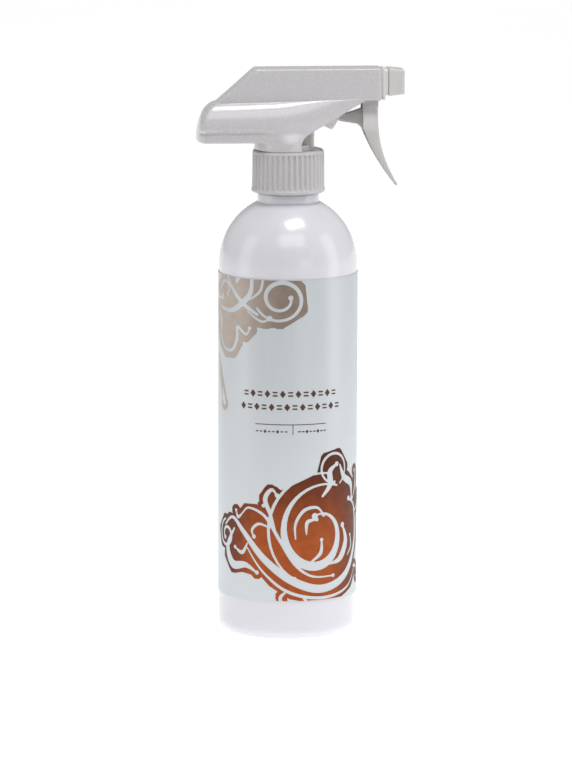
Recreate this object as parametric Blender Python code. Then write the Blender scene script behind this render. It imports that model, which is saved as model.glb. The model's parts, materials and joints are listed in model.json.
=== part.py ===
"""A 500 ml trigger-spray bottle: bottle, wrap label, screw collar and trigger sprayer.

Frame: the origin is the centre of the bottle's base, +Z is up and +X is where the nozzle
points. Shapes are drawn in millimetres in this frame, and finish() brings them to metres.
"""
import math

import bmesh
import bpy
from mathutils import Matrix, Vector

MM = 0.001

# Bottle, a cylinder with a hemispherical shoulder and a 28 mm screw neck.
BOTTLE_R = 31.3
WALL = 1.0
HEEL_R = 5.8
SHOULDER_Z = 168.8
NECK_RING_R = 13.9
NECK_RING_Z = (197.9, 200.9)
NECK_ROOT_R = 12.55
NECK_BORE_R = 10.9
LIP_Z = 214.5
PAD_R = 9.0
PUSH_UP = 1.1

# Screw thread that the neck and the collar share: six turns to the inch.
PITCH = 25.4 / 6
THREAD_TURNS = 1.5
THREAD_START_Z = 203.6
NECK_CREST_R = 13.75
COLLAR_CREST_R = 12.95

# Wrap label.
LABEL_Z = (18.2, 165.0)
LABEL_R = (31.5, 31.7)
LABEL_SEAM = math.radians(3.0)

# Screw collar.
COLLAR_Z = (201.2, 220.4)
COLLAR_BORE_R = 14.1
COLLAR_FLANGE_R = 16.75
COLLAR_RIBS = 40
RIB_DEPTH = 0.5
WEB_Z = (217.6, 218.8)
WEB_HOLE_R = 11.8
RECESS_R = 14.6

# Neck gasket and the sprayer's flange, which the collar clamps on the lip.
GASKET_Z = (214.8, 215.8)
FLANGE_Z = (216.1, 217.3)
FLANGE_R = 13.3
STEM_R = 11.2

# Suction side: retainer, inlet ball and dip tube on the neck's axis.
RETAINER_Z = (211.5, 225.9)
RETAINER_R = 4.0
TUBE_Z = (4.2, 218.6)
TUBE_R = (1.6, 2.4)
BALL_R = 2.0
BALL_Z = 226.35
BALL_CHAMBER_R = 2.5
BALL_CHAMBER_TOP = 230.2
RISER_R = 1.5

# Pump cylinder, tilted so that the piston travels back and up.
TILT = math.radians(28.0)
MOUTH = (22.3, 0.0, 234.6)
CYLINDER_R = 6.3
CYLINDER_BORE_R = 5.5
CYLINDER_DEPTH = 16.2
CYLINDER_LENGTH = 17.3
PISTON_FACE = 0.65
PISTON_LENGTH = 4.6

# Trigger and its pivot.
PIVOT = (35.5, 0.0, 249.0)
HUB_R = 2.9
TRUNNION_R = 1.7
ARM_TIP = (23.5, 234.5)
ARM_TIP_R = 1.4
FORK_Y = (3.8, 4.9)
TRIGGER_WALL = 1.2
TRIGGER_TOP_Z = 242.9
TRIGGER_TIP_Z = 204.5
FINGER_HALF_WIDTH = 9.2

# Discharge side, along the nozzle's axis.
NOZZLE_Z = 250.95
DISCHARGE_R = 3.4
VALVE_SEAT_X = 40.4
CHAMBER_R = 2.9
SPINNER_BORE_R = 3.2
BOSS_R = 4.4
BOSS_END_X = 49.2
SPINNER_X = (45.4, 50.2)
PLATE_X = (42.1, 43.3)
PLATE_Z = (243.9, 257.1)
NOZZLE_X = (45.0, 52.2)
NOZZLE_HALF = (6.2, 5.5)

# Shroud, the cover over the pump.
SHROUD_WALL = 0.9
SHROUD_FRONT_X = 41.3
SHROUD_BOTTOM_Z = 224.5
FOOT_R = 14.0
FOOT_Z = (219.3, 229.0)
REAR_CORNER_X = -38.0


def clear_scene():
    for item in list(bpy.data.objects):
        bpy.data.objects.remove(item, do_unlink=True)


def plastic(name, colour, roughness, metallic=0.0):
    """Principled material of one even colour."""
    material = bpy.data.materials.new(name)
    material.use_nodes = True
    shader = material.node_tree.nodes["Principled BSDF"]
    shader.inputs["Base Color"].default_value = (*colour, 1.0)
    shader.inputs["Roughness"].default_value = roughness
    shader.inputs["Metallic"].default_value = metallic
    material.diffuse_color = (*colour, 1.0)
    return material


def axis_frame(origin, direction):
    """Matrix that carries local +Z onto direction and keeps local +Y on world +Y."""
    along = Vector(direction).normalized()
    side = Vector((0.0, 1.0, 0.0))
    frame = Matrix((side.cross(along), side, along)).transposed().to_4x4()
    frame.translation = Vector(origin)
    return frame


UPRIGHT = Matrix.Identity(4)
FORWARD = axis_frame((0.0, 0.0, NOZZLE_Z), (1.0, 0.0, 0.0))
STROKE = axis_frame(MOUTH, (-math.cos(TILT), 0.0, math.sin(TILT)))
ACROSS = Matrix.Translation(PIVOT) @ Matrix.Rotation(math.radians(-90.0), 4, "X")


def new_object(name, mesh_builder, frame=UPRIGHT):
    """Object from a bmesh drawn in millimetres in the given frame."""
    bmesh.ops.remove_doubles(mesh_builder, verts=mesh_builder.verts, dist=1e-4)
    bmesh.ops.recalc_face_normals(mesh_builder, faces=mesh_builder.faces)
    if mesh_builder.calc_volume(signed=True) < 0.0:
        bmesh.ops.reverse_faces(mesh_builder, faces=mesh_builder.faces)
    bmesh.ops.transform(mesh_builder, matrix=frame, verts=mesh_builder.verts)
    mesh = bpy.data.meshes.new(name)
    mesh_builder.to_mesh(mesh)
    mesh_builder.free()
    item = bpy.data.objects.new(name, mesh)
    bpy.context.scene.collection.objects.link(item)
    return item


def arc(centre, radius, start, end, steps):
    """Points of an arc in a plane, with its angles in degrees."""
    angles = [math.radians(start + (end - start) * i / steps) for i in range(steps + 1)]
    return [(centre[0] + radius * math.cos(a), centre[1] + radius * math.sin(a)) for a in angles]


def turned(name, profile, segments=32, frame=UPRIGHT, angle=2 * math.pi, start=0.0):
    """Body of revolution about local Z from (radius, height) points."""
    build = bmesh.new()
    verts = [build.verts.new((r, 0.0, h)) for r, h in profile]
    on_axis = profile[0][0] == 0.0 and profile[-1][0] == 0.0
    count = len(verts) - 1 if on_axis else len(verts)
    edges = [build.edges.new((verts[i], verts[(i + 1) % len(verts)])) for i in range(count)]
    whole = angle >= 2 * math.pi
    caps = [] if whole else [build.faces.new(verts)]
    bmesh.ops.rotate(build, verts=build.verts, cent=(0, 0, 0), matrix=Matrix.Rotation(start, 3, "Z"))
    spun = bmesh.ops.spin(build, geom=verts + edges, cent=(0, 0, 0), axis=(0, 0, 1),
                          dvec=(0, 0, 0), angle=angle, steps=segments, use_merge=whole)
    if caps:
        end_edges = [e for e in spun["geom_last"] if isinstance(e, bmesh.types.BMEdge)]
        bmesh.ops.contextual_create(build, geom=end_edges)
    return new_object(name, build, frame)


def rod(name, radius, start, end, frame=UPRIGHT, segments=24):
    """Plain cylinder along local Z."""
    return turned(name, [(0.0, start), (radius, start), (radius, end), (0.0, end)], segments, frame)


def extruded(name, outline, half_width, centre_y=0.0):
    """Side outline of (x, z) points, extruded across the object."""
    build = bmesh.new()
    face = build.faces.new([build.verts.new((x, centre_y - half_width, z)) for x, z in outline])
    grown = bmesh.ops.extrude_face_region(build, geom=[face])
    moved = [v for v in grown["geom"] if isinstance(v, bmesh.types.BMVert)]
    bmesh.ops.translate(build, vec=(0.0, 2 * half_width, 0.0), verts=moved)
    return new_object(name, build)


def block(name, low, high):
    """Box between two corners."""
    outline = [(low[0], low[2]), (high[0], low[2]), (high[0], high[2]), (low[0], high[2])]
    return extruded(name, outline, (high[1] - low[1]) / 2, (high[1] + low[1]) / 2)


def skinned(name, sections, frame=UPRIGHT):
    """Closed body through rings of points, with a flat cap on each end."""
    build = bmesh.new()
    rings = [[build.verts.new(p) for p in section] for section in sections]
    count = len(rings[0])
    for low, high in zip(rings, rings[1:]):
        for i in range(count):
            j = (i + 1) % count
            build.faces.new((low[i], low[j], high[j], high[i]))
    build.faces.new(rings[0])
    build.faces.new(rings[-1])
    return new_object(name, build, frame)


def tidy_mesh(mesh):
    """Triangulate a mesh, and remove the slivers that a Boolean leaves."""
    build = bmesh.new()
    build.from_mesh(mesh)
    bmesh.ops.triangulate(build, faces=build.faces)
    bmesh.ops.remove_doubles(build, verts=build.verts, dist=2e-3)
    bmesh.ops.dissolve_degenerate(build, edges=build.edges, dist=1e-3)
    bmesh.ops.triangulate(build, faces=build.faces)
    build.to_mesh(mesh)
    build.free()
    return mesh


def combine(target, tools, operation):
    """Join or cut target with all the tools at once, and remove the tools."""
    group = bpy.data.collections.new("tools")
    for tool in tools:
        group.objects.link(tool)
    modifier = target.modifiers.new("combine", "BOOLEAN")
    modifier.operation = operation
    modifier.solver = "EXACT"
    modifier.operand_type = "COLLECTION"
    modifier.collection = group
    graph = bpy.context.evaluated_depsgraph_get()
    mesh = bpy.data.meshes.new_from_object(target.evaluated_get(graph))
    target.modifiers.clear()
    target.data = tidy_mesh(mesh)
    for tool in tools:
        bpy.data.objects.remove(tool, do_unlink=True)
    bpy.data.collections.remove(group)
    return target


def finish(item, material, origin=(0.0, 0.0, 0.0), sharp_degrees=35.0):
    """Give a piece its material, its origin and its smooth shading."""
    item.data.materials.clear()
    item.data.materials.append(material)
    item.data.transform(Matrix.Scale(MM, 4) @ Matrix.Translation(-Vector(origin)))
    item.location = Vector(origin) * MM
    item.data.shade_smooth()
    item.data.set_sharp_from_angle(angle=math.radians(sharp_degrees))
    item.data.name = item.name
    return item


def screw_ridge(name, root_r, crest_r, middle_z, root_half, crest_half):
    """Helical ridge that fades out over the first and last part of a turn."""
    steps = int(THREAD_TURNS * 20)
    fade = 3
    bury = 0.45 if root_r > crest_r else -0.45
    sections = []
    for i in range(steps + 1):
        angle = 2 * math.pi * THREAD_TURNS * i / steps
        z = middle_z + PITCH * THREAD_TURNS * i / steps
        full = min(1.0, (i + 0.5) / fade, (steps - i + 0.5) / fade)
        crest = root_r + (crest_r - root_r) * full
        ring = [(root_r + bury, -root_half), (crest, -crest_half),
                (crest, crest_half), (root_r + bury, root_half)]
        sections.append([(r * math.cos(angle), r * math.sin(angle), z + h) for r, h in ring])
    return skinned(name, sections)


def make_bottle(material):
    inner_heel = HEEL_R - WALL
    ring_r = BOTTLE_R - HEEL_R
    top_angle = math.degrees(math.acos(NECK_RING_R / BOTTLE_R))
    inner_r = BOTTLE_R - WALL
    inner_angle = math.degrees(math.acos(NECK_BORE_R / inner_r))
    floor = WALL + 0.1
    outside = [(0.0, 0.0), (PAD_R, 0.0), (PAD_R + 1.5, PUSH_UP), (ring_r - 3.0, PUSH_UP),
               (ring_r - 1.3, 0.0)]
    outside += arc((ring_r, HEEL_R), HEEL_R, -90, 0, 4)
    outside += arc((0.0, SHOULDER_Z), BOTTLE_R, 0, top_angle, 7)
    outside += [(NECK_RING_R, NECK_RING_Z[0]), (NECK_RING_R, NECK_RING_Z[1] - 0.3),
                (NECK_RING_R - 0.3, NECK_RING_Z[1]), (NECK_ROOT_R, NECK_RING_Z[1] + 0.2),
                (NECK_ROOT_R, LIP_Z - 0.5), (NECK_ROOT_R - 0.5, LIP_Z)]
    inside = [(NECK_BORE_R, LIP_Z)]
    inside += arc((0.0, SHOULDER_Z), inner_r, inner_angle, 0, 6)
    inside += arc((ring_r, HEEL_R), inner_heel, 0, -90, 3)
    inside += [(ring_r - 0.9, floor), (ring_r - 2.6, PUSH_UP + floor),
               (PAD_R + 1.0, PUSH_UP + floor), (PAD_R - 0.6, floor), (0.0, floor)]
    bottle = turned("bottle", outside + inside, 40)
    ridge = screw_ridge("ridge", NECK_ROOT_R, NECK_CREST_R, THREAD_START_Z, 1.1, 0.45)
    return finish(combine(bottle, [ridge], "UNION"), material)


def make_label(material):
    low, high = LABEL_Z
    inner, outer = LABEL_R
    outline = [(inner, low), (outer, low), (outer, high), (inner, high)]
    sweep = 2 * math.pi - LABEL_SEAM
    start = math.pi / 2 + LABEL_SEAM / 2
    return finish(turned("label", outline, 40, UPRIGHT, sweep, start), material)


def ribbed(points):
    """Alternate the radius of a turned wall so that it carries fine upright ribs."""
    for vert in points:
        angle = math.atan2(vert.co.y, vert.co.x)
        step = round(angle / (math.pi / COLLAR_RIBS))
        if step % 2:
            radius = math.hypot(vert.co.x, vert.co.y)
            scale = (radius - RIB_DEPTH) / radius
            vert.co.x *= scale
            vert.co.y *= scale


def make_collar(material):
    low, high = COLLAR_Z
    outline = [(COLLAR_BORE_R, low), (COLLAR_FLANGE_R - 1.0, low), (COLLAR_FLANGE_R, low + 1.0),
               (COLLAR_FLANGE_R - 0.1, low + 2.4), (16.45, low + 2.7), (16.2, high - 1.1),
               (15.6, high), (15.0, high), (RECESS_R, high - 0.4), (RECESS_R, WEB_Z[1]),
               (WEB_HOLE_R, WEB_Z[1]), (WEB_HOLE_R, WEB_Z[0]), (COLLAR_BORE_R, WEB_Z[0])]
    collar = turned("collar", outline, 2 * COLLAR_RIBS)
    wall = [v for v in collar.data.vertices
            if math.hypot(v.co.x, v.co.y) > 16.1 and v.co.z > low + 2.5]
    ribbed(wall)
    ridge = screw_ridge("ridge", COLLAR_BORE_R, COLLAR_CREST_R, THREAD_START_Z + PITCH / 2, 1.0, 0.4)
    combine(collar, [ridge], "UNION")
    return finish(collar, material, (0.0, 0.0, WEB_Z[0]))


def make_gasket(material):
    low, high = GASKET_Z
    outline = [(NECK_BORE_R + 0.2, low), (13.2, low), (13.2, high), (NECK_BORE_R + 0.2, high)]
    return finish(turned("neck_gasket", outline), material, (0.0, 0.0, low))


def pump_cylinder():
    """Tilted cylinder, open at its front mouth."""
    return rod("cylinder", CYLINDER_R, 0.0, CYLINDER_LENGTH, STROKE)


def pump_body_solids():
    """Everything that adds material to the sprayer's main moulding."""
    cheek_y = (FORK_Y[1] + 0.3, FORK_Y[1] + 1.4)
    plate = block("plate", (PLATE_X[0], -7.3, PLATE_Z[0]), (PLATE_X[1], 7.3, PLATE_Z[1]))
    solids = [
        rod("stem", STEM_R, FLANGE_Z[0] + 0.5, 223.0, segments=32),
        block("column", (-8.0, -7.0, 222.0), (STEM_R, 7.0, 238.0)),
        block("mast", (-5.0, -5.0, 237.0), (7.0, 5.0, 253.0)),
        pump_cylinder(),
        rod("discharge", DISCHARGE_R, -3.0, VALVE_SEAT_X, FORWARD),
        rod("housing", CHAMBER_R + 1.0, VALVE_SEAT_X - 0.9, PLATE_X[0] + 0.6, FORWARD),
        plate,
        block("roof", (31.5, -cheek_y[1], 253.1), (PLATE_X[0] + 0.5, cheek_y[1], 254.3)),
    ]
    for side in (-1, 1):
        y = sorted((side * cheek_y[0], side * cheek_y[1]))
        solids.append(block("cheek", (31.5, y[0], 245.5), (PLATE_X[0] + 0.5, y[1], 253.6)))
    boss = [(0.0, PLATE_X[0] + 0.8), (BOSS_R, PLATE_X[0] + 0.8), (BOSS_R, 47.2), (BOSS_R + 0.25, 47.6),
            (BOSS_R + 0.25, 48.0), (BOSS_R, 48.4), (BOSS_R, BOSS_END_X), (0.0, BOSS_END_X)]
    solids.append(turned("boss", boss, 24, FORWARD))
    return solids


def pump_body_cuts():
    """Bores and pockets of the sprayer's main moulding."""
    floor_z = MOUTH[2] + CYLINDER_DEPTH * math.sin(TILT)
    floor_x = MOUTH[0] - CYLINDER_DEPTH * math.cos(TILT)
    port_frame = Matrix.Translation((0.0, 0.0, floor_z - NOZZLE_Z)) @ FORWARD
    cuts = [
        rod("socket", RETAINER_R + 0.25, FLANGE_Z[0] - 1.0, RETAINER_Z[1] + 0.2),
        rod("chamber", BALL_CHAMBER_R, RETAINER_Z[1], BALL_CHAMBER_TOP, segments=20),
        rod("riser", RISER_R, BALL_CHAMBER_TOP - 0.5, NOZZLE_Z, segments=16),
        rod("bore", CYLINDER_BORE_R, -1.0, CYLINDER_DEPTH, STROKE),
        rod("port", 1.0, 0.0, floor_x + 0.6, port_frame, 12),
        rod("outlet", RISER_R, 0.0, VALVE_SEAT_X + 0.5, FORWARD, 16),
        rod("valve_chamber", CHAMBER_R, VALVE_SEAT_X, SPINNER_X[0], FORWARD),
        rod("spinner_bore", SPINNER_BORE_R, SPINNER_X[0] - 0.4, BOSS_END_X + 1.0, FORWARD),
    ]
    for side in (-1, 1):
        y = sorted((side * 2.2, side * 15.0))
        cuts.append(block("pocket", (6.6, y[0], 219.6), (9.8, y[1], 232.5)))
        y = sorted((side * FORK_Y[0], side * 8.0))
        cuts.append(rod("pivot_hole", TRUNNION_R + 0.3, y[0], y[1], ACROSS, 20))
    slot_z = (MOUTH[2] + 1.5, MOUTH[2] + 9.0)
    slot = block("slot", (MOUTH[0] - 0.6, -2.3, slot_z[0]), (MOUTH[0] + 6.0, 2.3, slot_z[1]))
    return cuts + [slot]


def make_pump_body(material):
    body = rod("pump_body", FLANGE_R, FLANGE_Z[0], FLANGE_Z[1], segments=32)
    combine(body, pump_body_solids(), "UNION")
    combine(body, pump_body_cuts(), "DIFFERENCE")
    return finish(body, material, (0.0, 0.0, FLANGE_Z[0]))


def make_retainer(material):
    low, high = RETAINER_Z
    socket_r = TUBE_R[1] + 0.15
    outline = [(socket_r, low), (RETAINER_R - 0.5, low), (RETAINER_R, low + 1.0), (RETAINER_R, high),
               (2.35, high), (1.2, high - 1.5), (1.2, TUBE_Z[1] + 0.3), (socket_r, TUBE_Z[1] + 0.3)]
    return finish(turned("tube_retainer", outline, 24), material, (0.0, 0.0, low))


def make_inlet_ball(material):
    half = [(0.0, BALL_Z - BALL_R)] + arc((0.0, BALL_Z), BALL_R, -75, 75, 8) + [(0.0, BALL_Z + BALL_R)]
    return finish(turned("inlet_ball", half, 16), material, (0.0, 0.0, BALL_Z), 60.0)


def make_dip_tube(material):
    inner, outer = TUBE_R
    low, high = TUBE_Z
    outline = [(inner, low), (outer, low), (outer, high), (inner, high)]
    tube = turned("dip_tube", outline, 20)
    for vert in tube.data.vertices:
        if vert.co.z < low + 1.0:
            vert.co.z += 0.9 * (vert.co.x + outer)
    return finish(tube, material, (0.0, 0.0, high))


def make_piston(material):
    face, back = PISTON_FACE, PISTON_FACE + PISTON_LENGTH
    outline = [(0.0, face), (4.9, face), (5.15, face + 0.25), (5.15, face + 1.2), (3.6, face + 1.6),
               (3.6, face + 2.8), (2.2, face + 2.8), (2.2, back), (0.0, back)]
    return finish(turned("piston", outline, 24, STROKE), material, MOUTH)


def make_piston_seal(material):
    front = PISTON_FACE + 3.1
    outline = [(2.5, front), (5.0, front), (5.3, front + 0.5), (5.3, front + 1.4), (5.0, front + 1.4),
               (4.6, front + 0.7), (2.5, front + 0.7)]
    return finish(turned("piston_seal", outline, 24, STROKE), material, MOUTH)


def make_spring(name, material, frame, start, end, radius, wire_r, turns, origin):
    """Coil spring: a round wire along a helix about local Z."""
    per_turn = 12
    count = int(turns * per_turn)
    curve = bpy.data.curves.new(name, "CURVE")
    curve.dimensions = "3D"
    curve.bevel_depth = wire_r * MM
    curve.bevel_resolution = 1
    curve.use_fill_caps = True
    spline = curve.splines.new("POLY")
    spline.points.add(count)
    for i, point in enumerate(spline.points):
        angle = 2 * math.pi * turns * i / count
        local = Vector((radius * math.cos(angle), radius * math.sin(angle),
                        start + wire_r + (end - start - 2 * wire_r) * i / count))
        point.co = (*((frame @ local - Vector(origin)) * MM), 1.0)
    spring = bpy.data.objects.new(name, curve)
    spring.location = Vector(origin) * MM
    curve.materials.append(material)
    bpy.context.scene.collection.objects.link(spring)
    return spring


def smooth_step(value, low, high):
    t = min(1.0, max(0.0, (value - low) / (high - low)))
    return t * t * (3 - 2 * t)


def trigger_front(z):
    bend = 0.0102 if z < 233.0 else 0.005
    return 40.2 + bend * (233.0 - z) ** 2


def trigger_rear(z):
    drop = max(0.0, 230.5 - z)
    return min(33.2 + 0.38 * drop + 0.0072 * drop ** 2, trigger_front(z) - 2.1)


def trigger_half_width(z):
    wide = FORK_Y[1] + (FINGER_HALF_WIDTH - FORK_Y[1]) * (1 - smooth_step(z, 227.0, 240.5))
    return wide - 1.6 * (1 - smooth_step(z, TRIGGER_TIP_Z, 214.0))


def trigger_blade():
    """Finger lever: a channel open to the rear, with a hollow finger face."""
    levels = 15
    corner = 1.3
    sections = []
    for i in range(levels + 1):
        z = TRIGGER_TOP_Z + (TRIGGER_TIP_Z - TRIGGER_TOP_Z) * i / levels
        front, rear, half = trigger_front(z), trigger_rear(z), trigger_half_width(z)
        wall = TRIGGER_WALL
        sections.append([
            (rear, -half, z), (front - corner, -half, z), (front, -half + corner, z),
            (front, half - corner, z), (front - corner, half, z), (rear, half, z),
            (rear, half - wall, z), (front - wall, half - wall, z),
            (front - wall, wall - half, z), (rear, wall - half, z)])
    return skinned("trigger", sections)


def trigger_arm():
    """Push arm from the lever to the piston, with a round tip."""
    tip = arc(ARM_TIP, ARM_TIP_R, 80, 260, 8)
    outline = [(39.6, 240.5), (34.0, 239.3), (29.1, 237.5)] + tip
    outline += [(31.1, 231.8), (33.6, 229.6), (39.6, 227.5)]
    return extruded("arm", outline, 1.8)


def trigger_fork(side):
    """One side of the fork that straddles the discharge tube, with its trunnion."""
    hub = arc((PIVOT[0], PIVOT[2]), HUB_R, 20, 190, 10)
    outline = hub + [(33.3, 240.0), (40.4, 240.0)]
    half = (FORK_Y[1] - FORK_Y[0]) / 2
    plate = extruded("fork", outline, half, side * (FORK_Y[0] + half))
    ends = sorted((side * (FORK_Y[0] + 0.5), side * (FORK_Y[1] + 1.3)))
    return [plate, rod("trunnion", TRUNNION_R, ends[0], ends[1], ACROSS, 20)]


def make_trigger(material):
    trigger = trigger_blade()
    combine(trigger, [trigger_arm()] + trigger_fork(-1) + trigger_fork(1), "UNION")
    return finish(trigger, material, PIVOT)


def make_outlet_valve(material):
    seat = VALVE_SEAT_X
    outline = [(0.0, seat - 0.4), (0.9, seat - 0.4), (1.2, seat + 0.25), (2.3, seat + 0.3),
               (2.3, seat + 1.2), (0.8, seat + 1.4), (0.8, seat + 5.7), (0.0, seat + 5.7)]
    return finish(turned("outlet_valve", outline, 20, FORWARD), material, (seat, 0.0, NOZZLE_Z))


def make_spinner(material):
    low, high = SPINNER_X
    outline = [(0.0, low + 1.9), (1.1, low + 1.9), (1.1, low), (2.6, low), (3.0, low + 0.4),
               (3.0, high - 0.8), (2.4, high), (0.9, high), (0.9, high - 0.5), (0.0, high - 0.5)]
    spinner = turned("spinner", outline, 24, FORWARD)
    flats = []
    for side in (-1, 1):
        y = sorted((side * 2.1, side * 4.0))
        flats.append(block("flat", (low - 1.0, y[0], NOZZLE_Z - 4.0), (high - 1.2, y[1], NOZZLE_Z + 4.0)))
    combine(spinner, flats, "DIFFERENCE")
    return finish(spinner, material, (low, 0.0, NOZZLE_Z))


def rounded_square(half, radius):
    """Square with round corners, centred on the axis."""
    points = []
    for quarter in range(4):
        turn = 90 * quarter
        centre = Matrix.Rotation(math.radians(turn), 2) @ Vector((half - radius, half - radius))
        points += arc(centre, radius, turn, turn + 90, 3)
    return points


def make_nozzle(material):
    low, high = NOZZLE_X
    back, front = NOZZLE_HALF
    steps = [(low, back - 0.3), (low + 0.3, back), (high - 0.7, front + 0.1), (high - 0.2, front - 0.3),
             (high, front - 0.8)]
    sections = [[(x, y, height) for x, y in rounded_square(half, 1.1)] for height, half in steps]
    nozzle = skinned("nozzle", sections, FORWARD)
    skirt_r = BOSS_R + 0.4
    cavity = [(0.0, low - 1.0), (skirt_r, low - 1.0), (skirt_r, 47.1), (skirt_r + 0.25, 47.5),
              (skirt_r + 0.25, 48.1), (skirt_r, 48.5), (skirt_r, SPINNER_X[1] - 0.6),
              (3.2, SPINNER_X[1] + 0.3), (0.45, SPINNER_X[1] + 0.3), (0.45, high - 0.9),
              (1.6, high + 0.3), (0.0, high + 0.3)]
    combine(nozzle, [turned("cavity", cavity, 24, FORWARD)], "DIFFERENCE")
    return finish(nozzle, material, (low, 0.0, NOZZLE_Z))


# Shroud levels, top to bottom: height, rear end, half width, and how far the level rises
# towards the front as a share of the crease's own rise.
CREASE_RISE = 2.0
SHROUD_LEVELS = [
    (257.3, -15.5, 6.9, 0.0), (256.8, -16.3, 7.35, 0.0), (247.5, -26.1, 7.55, 0.0),
    (241.9, -32.2, 7.8, 1.0), (241.5, -33.8, 8.6, 1.0), (240.7, -35.3, 10.2, 0.9),
    (239.2, -36.7, 11.5, 0.8), (236.7, -38.5, 12.6, 0.6), (233.0, -40.3, 13.3, 0.4),
    (229.4, -41.3, 13.4, 0.1), (228.7, -41.4, 13.0, 0.0), (228.2, -41.5, 12.7, 0.0),
    (225.6, -41.8, 12.6, 0.0), (224.9, -41.6, 12.3, 0.0), (SHROUD_BOTTOM_Z, -41.0, 11.8, 0.0)]


def shroud_ring(z, rear, half, rise, front, box_half):
    """Half-open plan outline of the shroud at one level, from front right to front left."""
    corner = max(REAR_CORNER_X, rear + 0.8)
    side = []
    for i in range(8):
        x = front + (corner - front) * i / 7
        spread = 1 - 0.9 * smooth_step(x, -8.0, 36.0)
        width = min(half, box_half) + max(0.0, half - box_half) * spread
        side.append((x, width))
    bow = []
    for i in range(1, 6):
        angle = math.radians(90 * i / 6)
        bow.append((corner + (rear - corner) * math.sin(angle), half * math.cos(angle) ** 0.8))
    right = [(x, -y) for x, y in side + bow]
    left = [(x, y) for x, y in reversed(side + bow)]
    plan = right + [(rear, 0.0)] + left
    lift = [CREASE_RISE * rise * (x - REAR_CORNER_X) / (SHROUD_FRONT_X - REAR_CORNER_X) for x, _ in plan]
    return [(x, y, z + dz) for (x, y), dz in zip(plan, lift)]


def shroud_solid(name, inset, front, bottom):
    """Filled outer or inner form of the shroud."""
    levels = SHROUD_LEVELS
    if inset:
        levels = [(z - inset * 0.4, rear + inset * 1.3, half - inset, rise)
                  for z, rear, half, rise in SHROUD_LEVELS[2:-2]]
        edge = SHROUD_LEVELS[1]
        levels.insert(0, (SHROUD_LEVELS[0][0] - inset, edge[1] + inset, edge[2] - inset, 0.0))
        levels.append((bottom, *levels[-1][1:3], 0.0))
    rings = [shroud_ring(*level, front, 7.8 - inset) for level in levels]
    return skinned(name, rings)


def shroud_front_cut():
    """Side outline of what is open in front of the foot and below the front edge."""
    sweep = [(4.4, 222.3), (4.9, 224.7), (5.8, 226.4), (7.2, 227.7), (9.7, 229.1), (14.1, 231.5),
             (24.5, 237.3), (33.6, 242.6), (34.6, 243.0)]
    outline = [(4.4, 205.0)] + sweep + [(60.0, 243.0), (60.0, 205.0)]
    return extruded("front_cut", outline, 30.0)


def make_shroud(material):
    shroud = shroud_solid("shroud", 0.0, SHROUD_FRONT_X, SHROUD_BOTTOM_Z)
    hollow = shroud_solid("hollow", SHROUD_WALL, SHROUD_FRONT_X + 3.0, SHROUD_BOTTOM_Z - 2.0)
    combine(shroud, [hollow], "DIFFERENCE")
    low, high = FOOT_Z
    wall = [(FOOT_R - SHROUD_WALL, low), (FOOT_R, low), (FOOT_R, high), (FOOT_R - SHROUD_WALL, high)]
    foot = turned("foot", wall, 40)
    combine(shroud, [foot], "UNION")
    combine(shroud, [shroud_front_cut()], "DIFFERENCE")
    return finish(shroud, material)


def make_all():
    clear_scene()
    white = plastic("white_hdpe", (0.84, 0.85, 0.87), 0.28)
    warm_white = plastic("warm_white_pp", (0.78, 0.78, 0.77), 0.35)
    grey_white = plastic("grey_white_pp", (0.80, 0.80, 0.81), 0.32)
    film = plastic("label_film", (0.55, 0.58, 0.62), 0.42)
    soft = plastic("soft_seal", (0.86, 0.86, 0.84), 0.55)
    steel = plastic("spring_steel", (0.62, 0.62, 0.60), 0.3, 1.0)
    natural = plastic("natural_pe", (0.82, 0.84, 0.82), 0.4)
    make_bottle(white)
    make_label(film)
    make_collar(grey_white)
    make_gasket(soft)
    make_pump_body(warm_white)
    make_retainer(natural)
    make_inlet_ball(steel)
    make_dip_tube(natural)
    make_piston(natural)
    make_piston_seal(soft)
    make_spring("return_spring", steel, STROKE, 5.8, CYLINDER_DEPTH - 0.25, 3.7, 0.35, 5.0, MOUTH)
    make_trigger(grey_white)
    make_outlet_valve(natural)
    make_spring("outlet_spring", steel, FORWARD, VALVE_SEAT_X + 1.6, SPINNER_X[0] - 0.2, 1.6, 0.22, 3.5,
                (VALVE_SEAT_X, 0.0, NOZZLE_Z))
    make_spinner(natural)
    make_nozzle(warm_white)
    make_shroud(white)


make_all()
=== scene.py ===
"""Looks of a 500 ml trigger-spray bottle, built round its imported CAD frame.

Shapes are drawn in millimetres in the row frame: origin at the centre of the bottle's base, +Z up
and +X where the nozzle points. settle() brings them to metres.
"""
import json
from math import acos, atan2, cos, degrees, hypot, pi, radians, sin, sqrt, tan

import bmesh
import bpy
import numpy as np
from mathutils import Matrix, Vector


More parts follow.
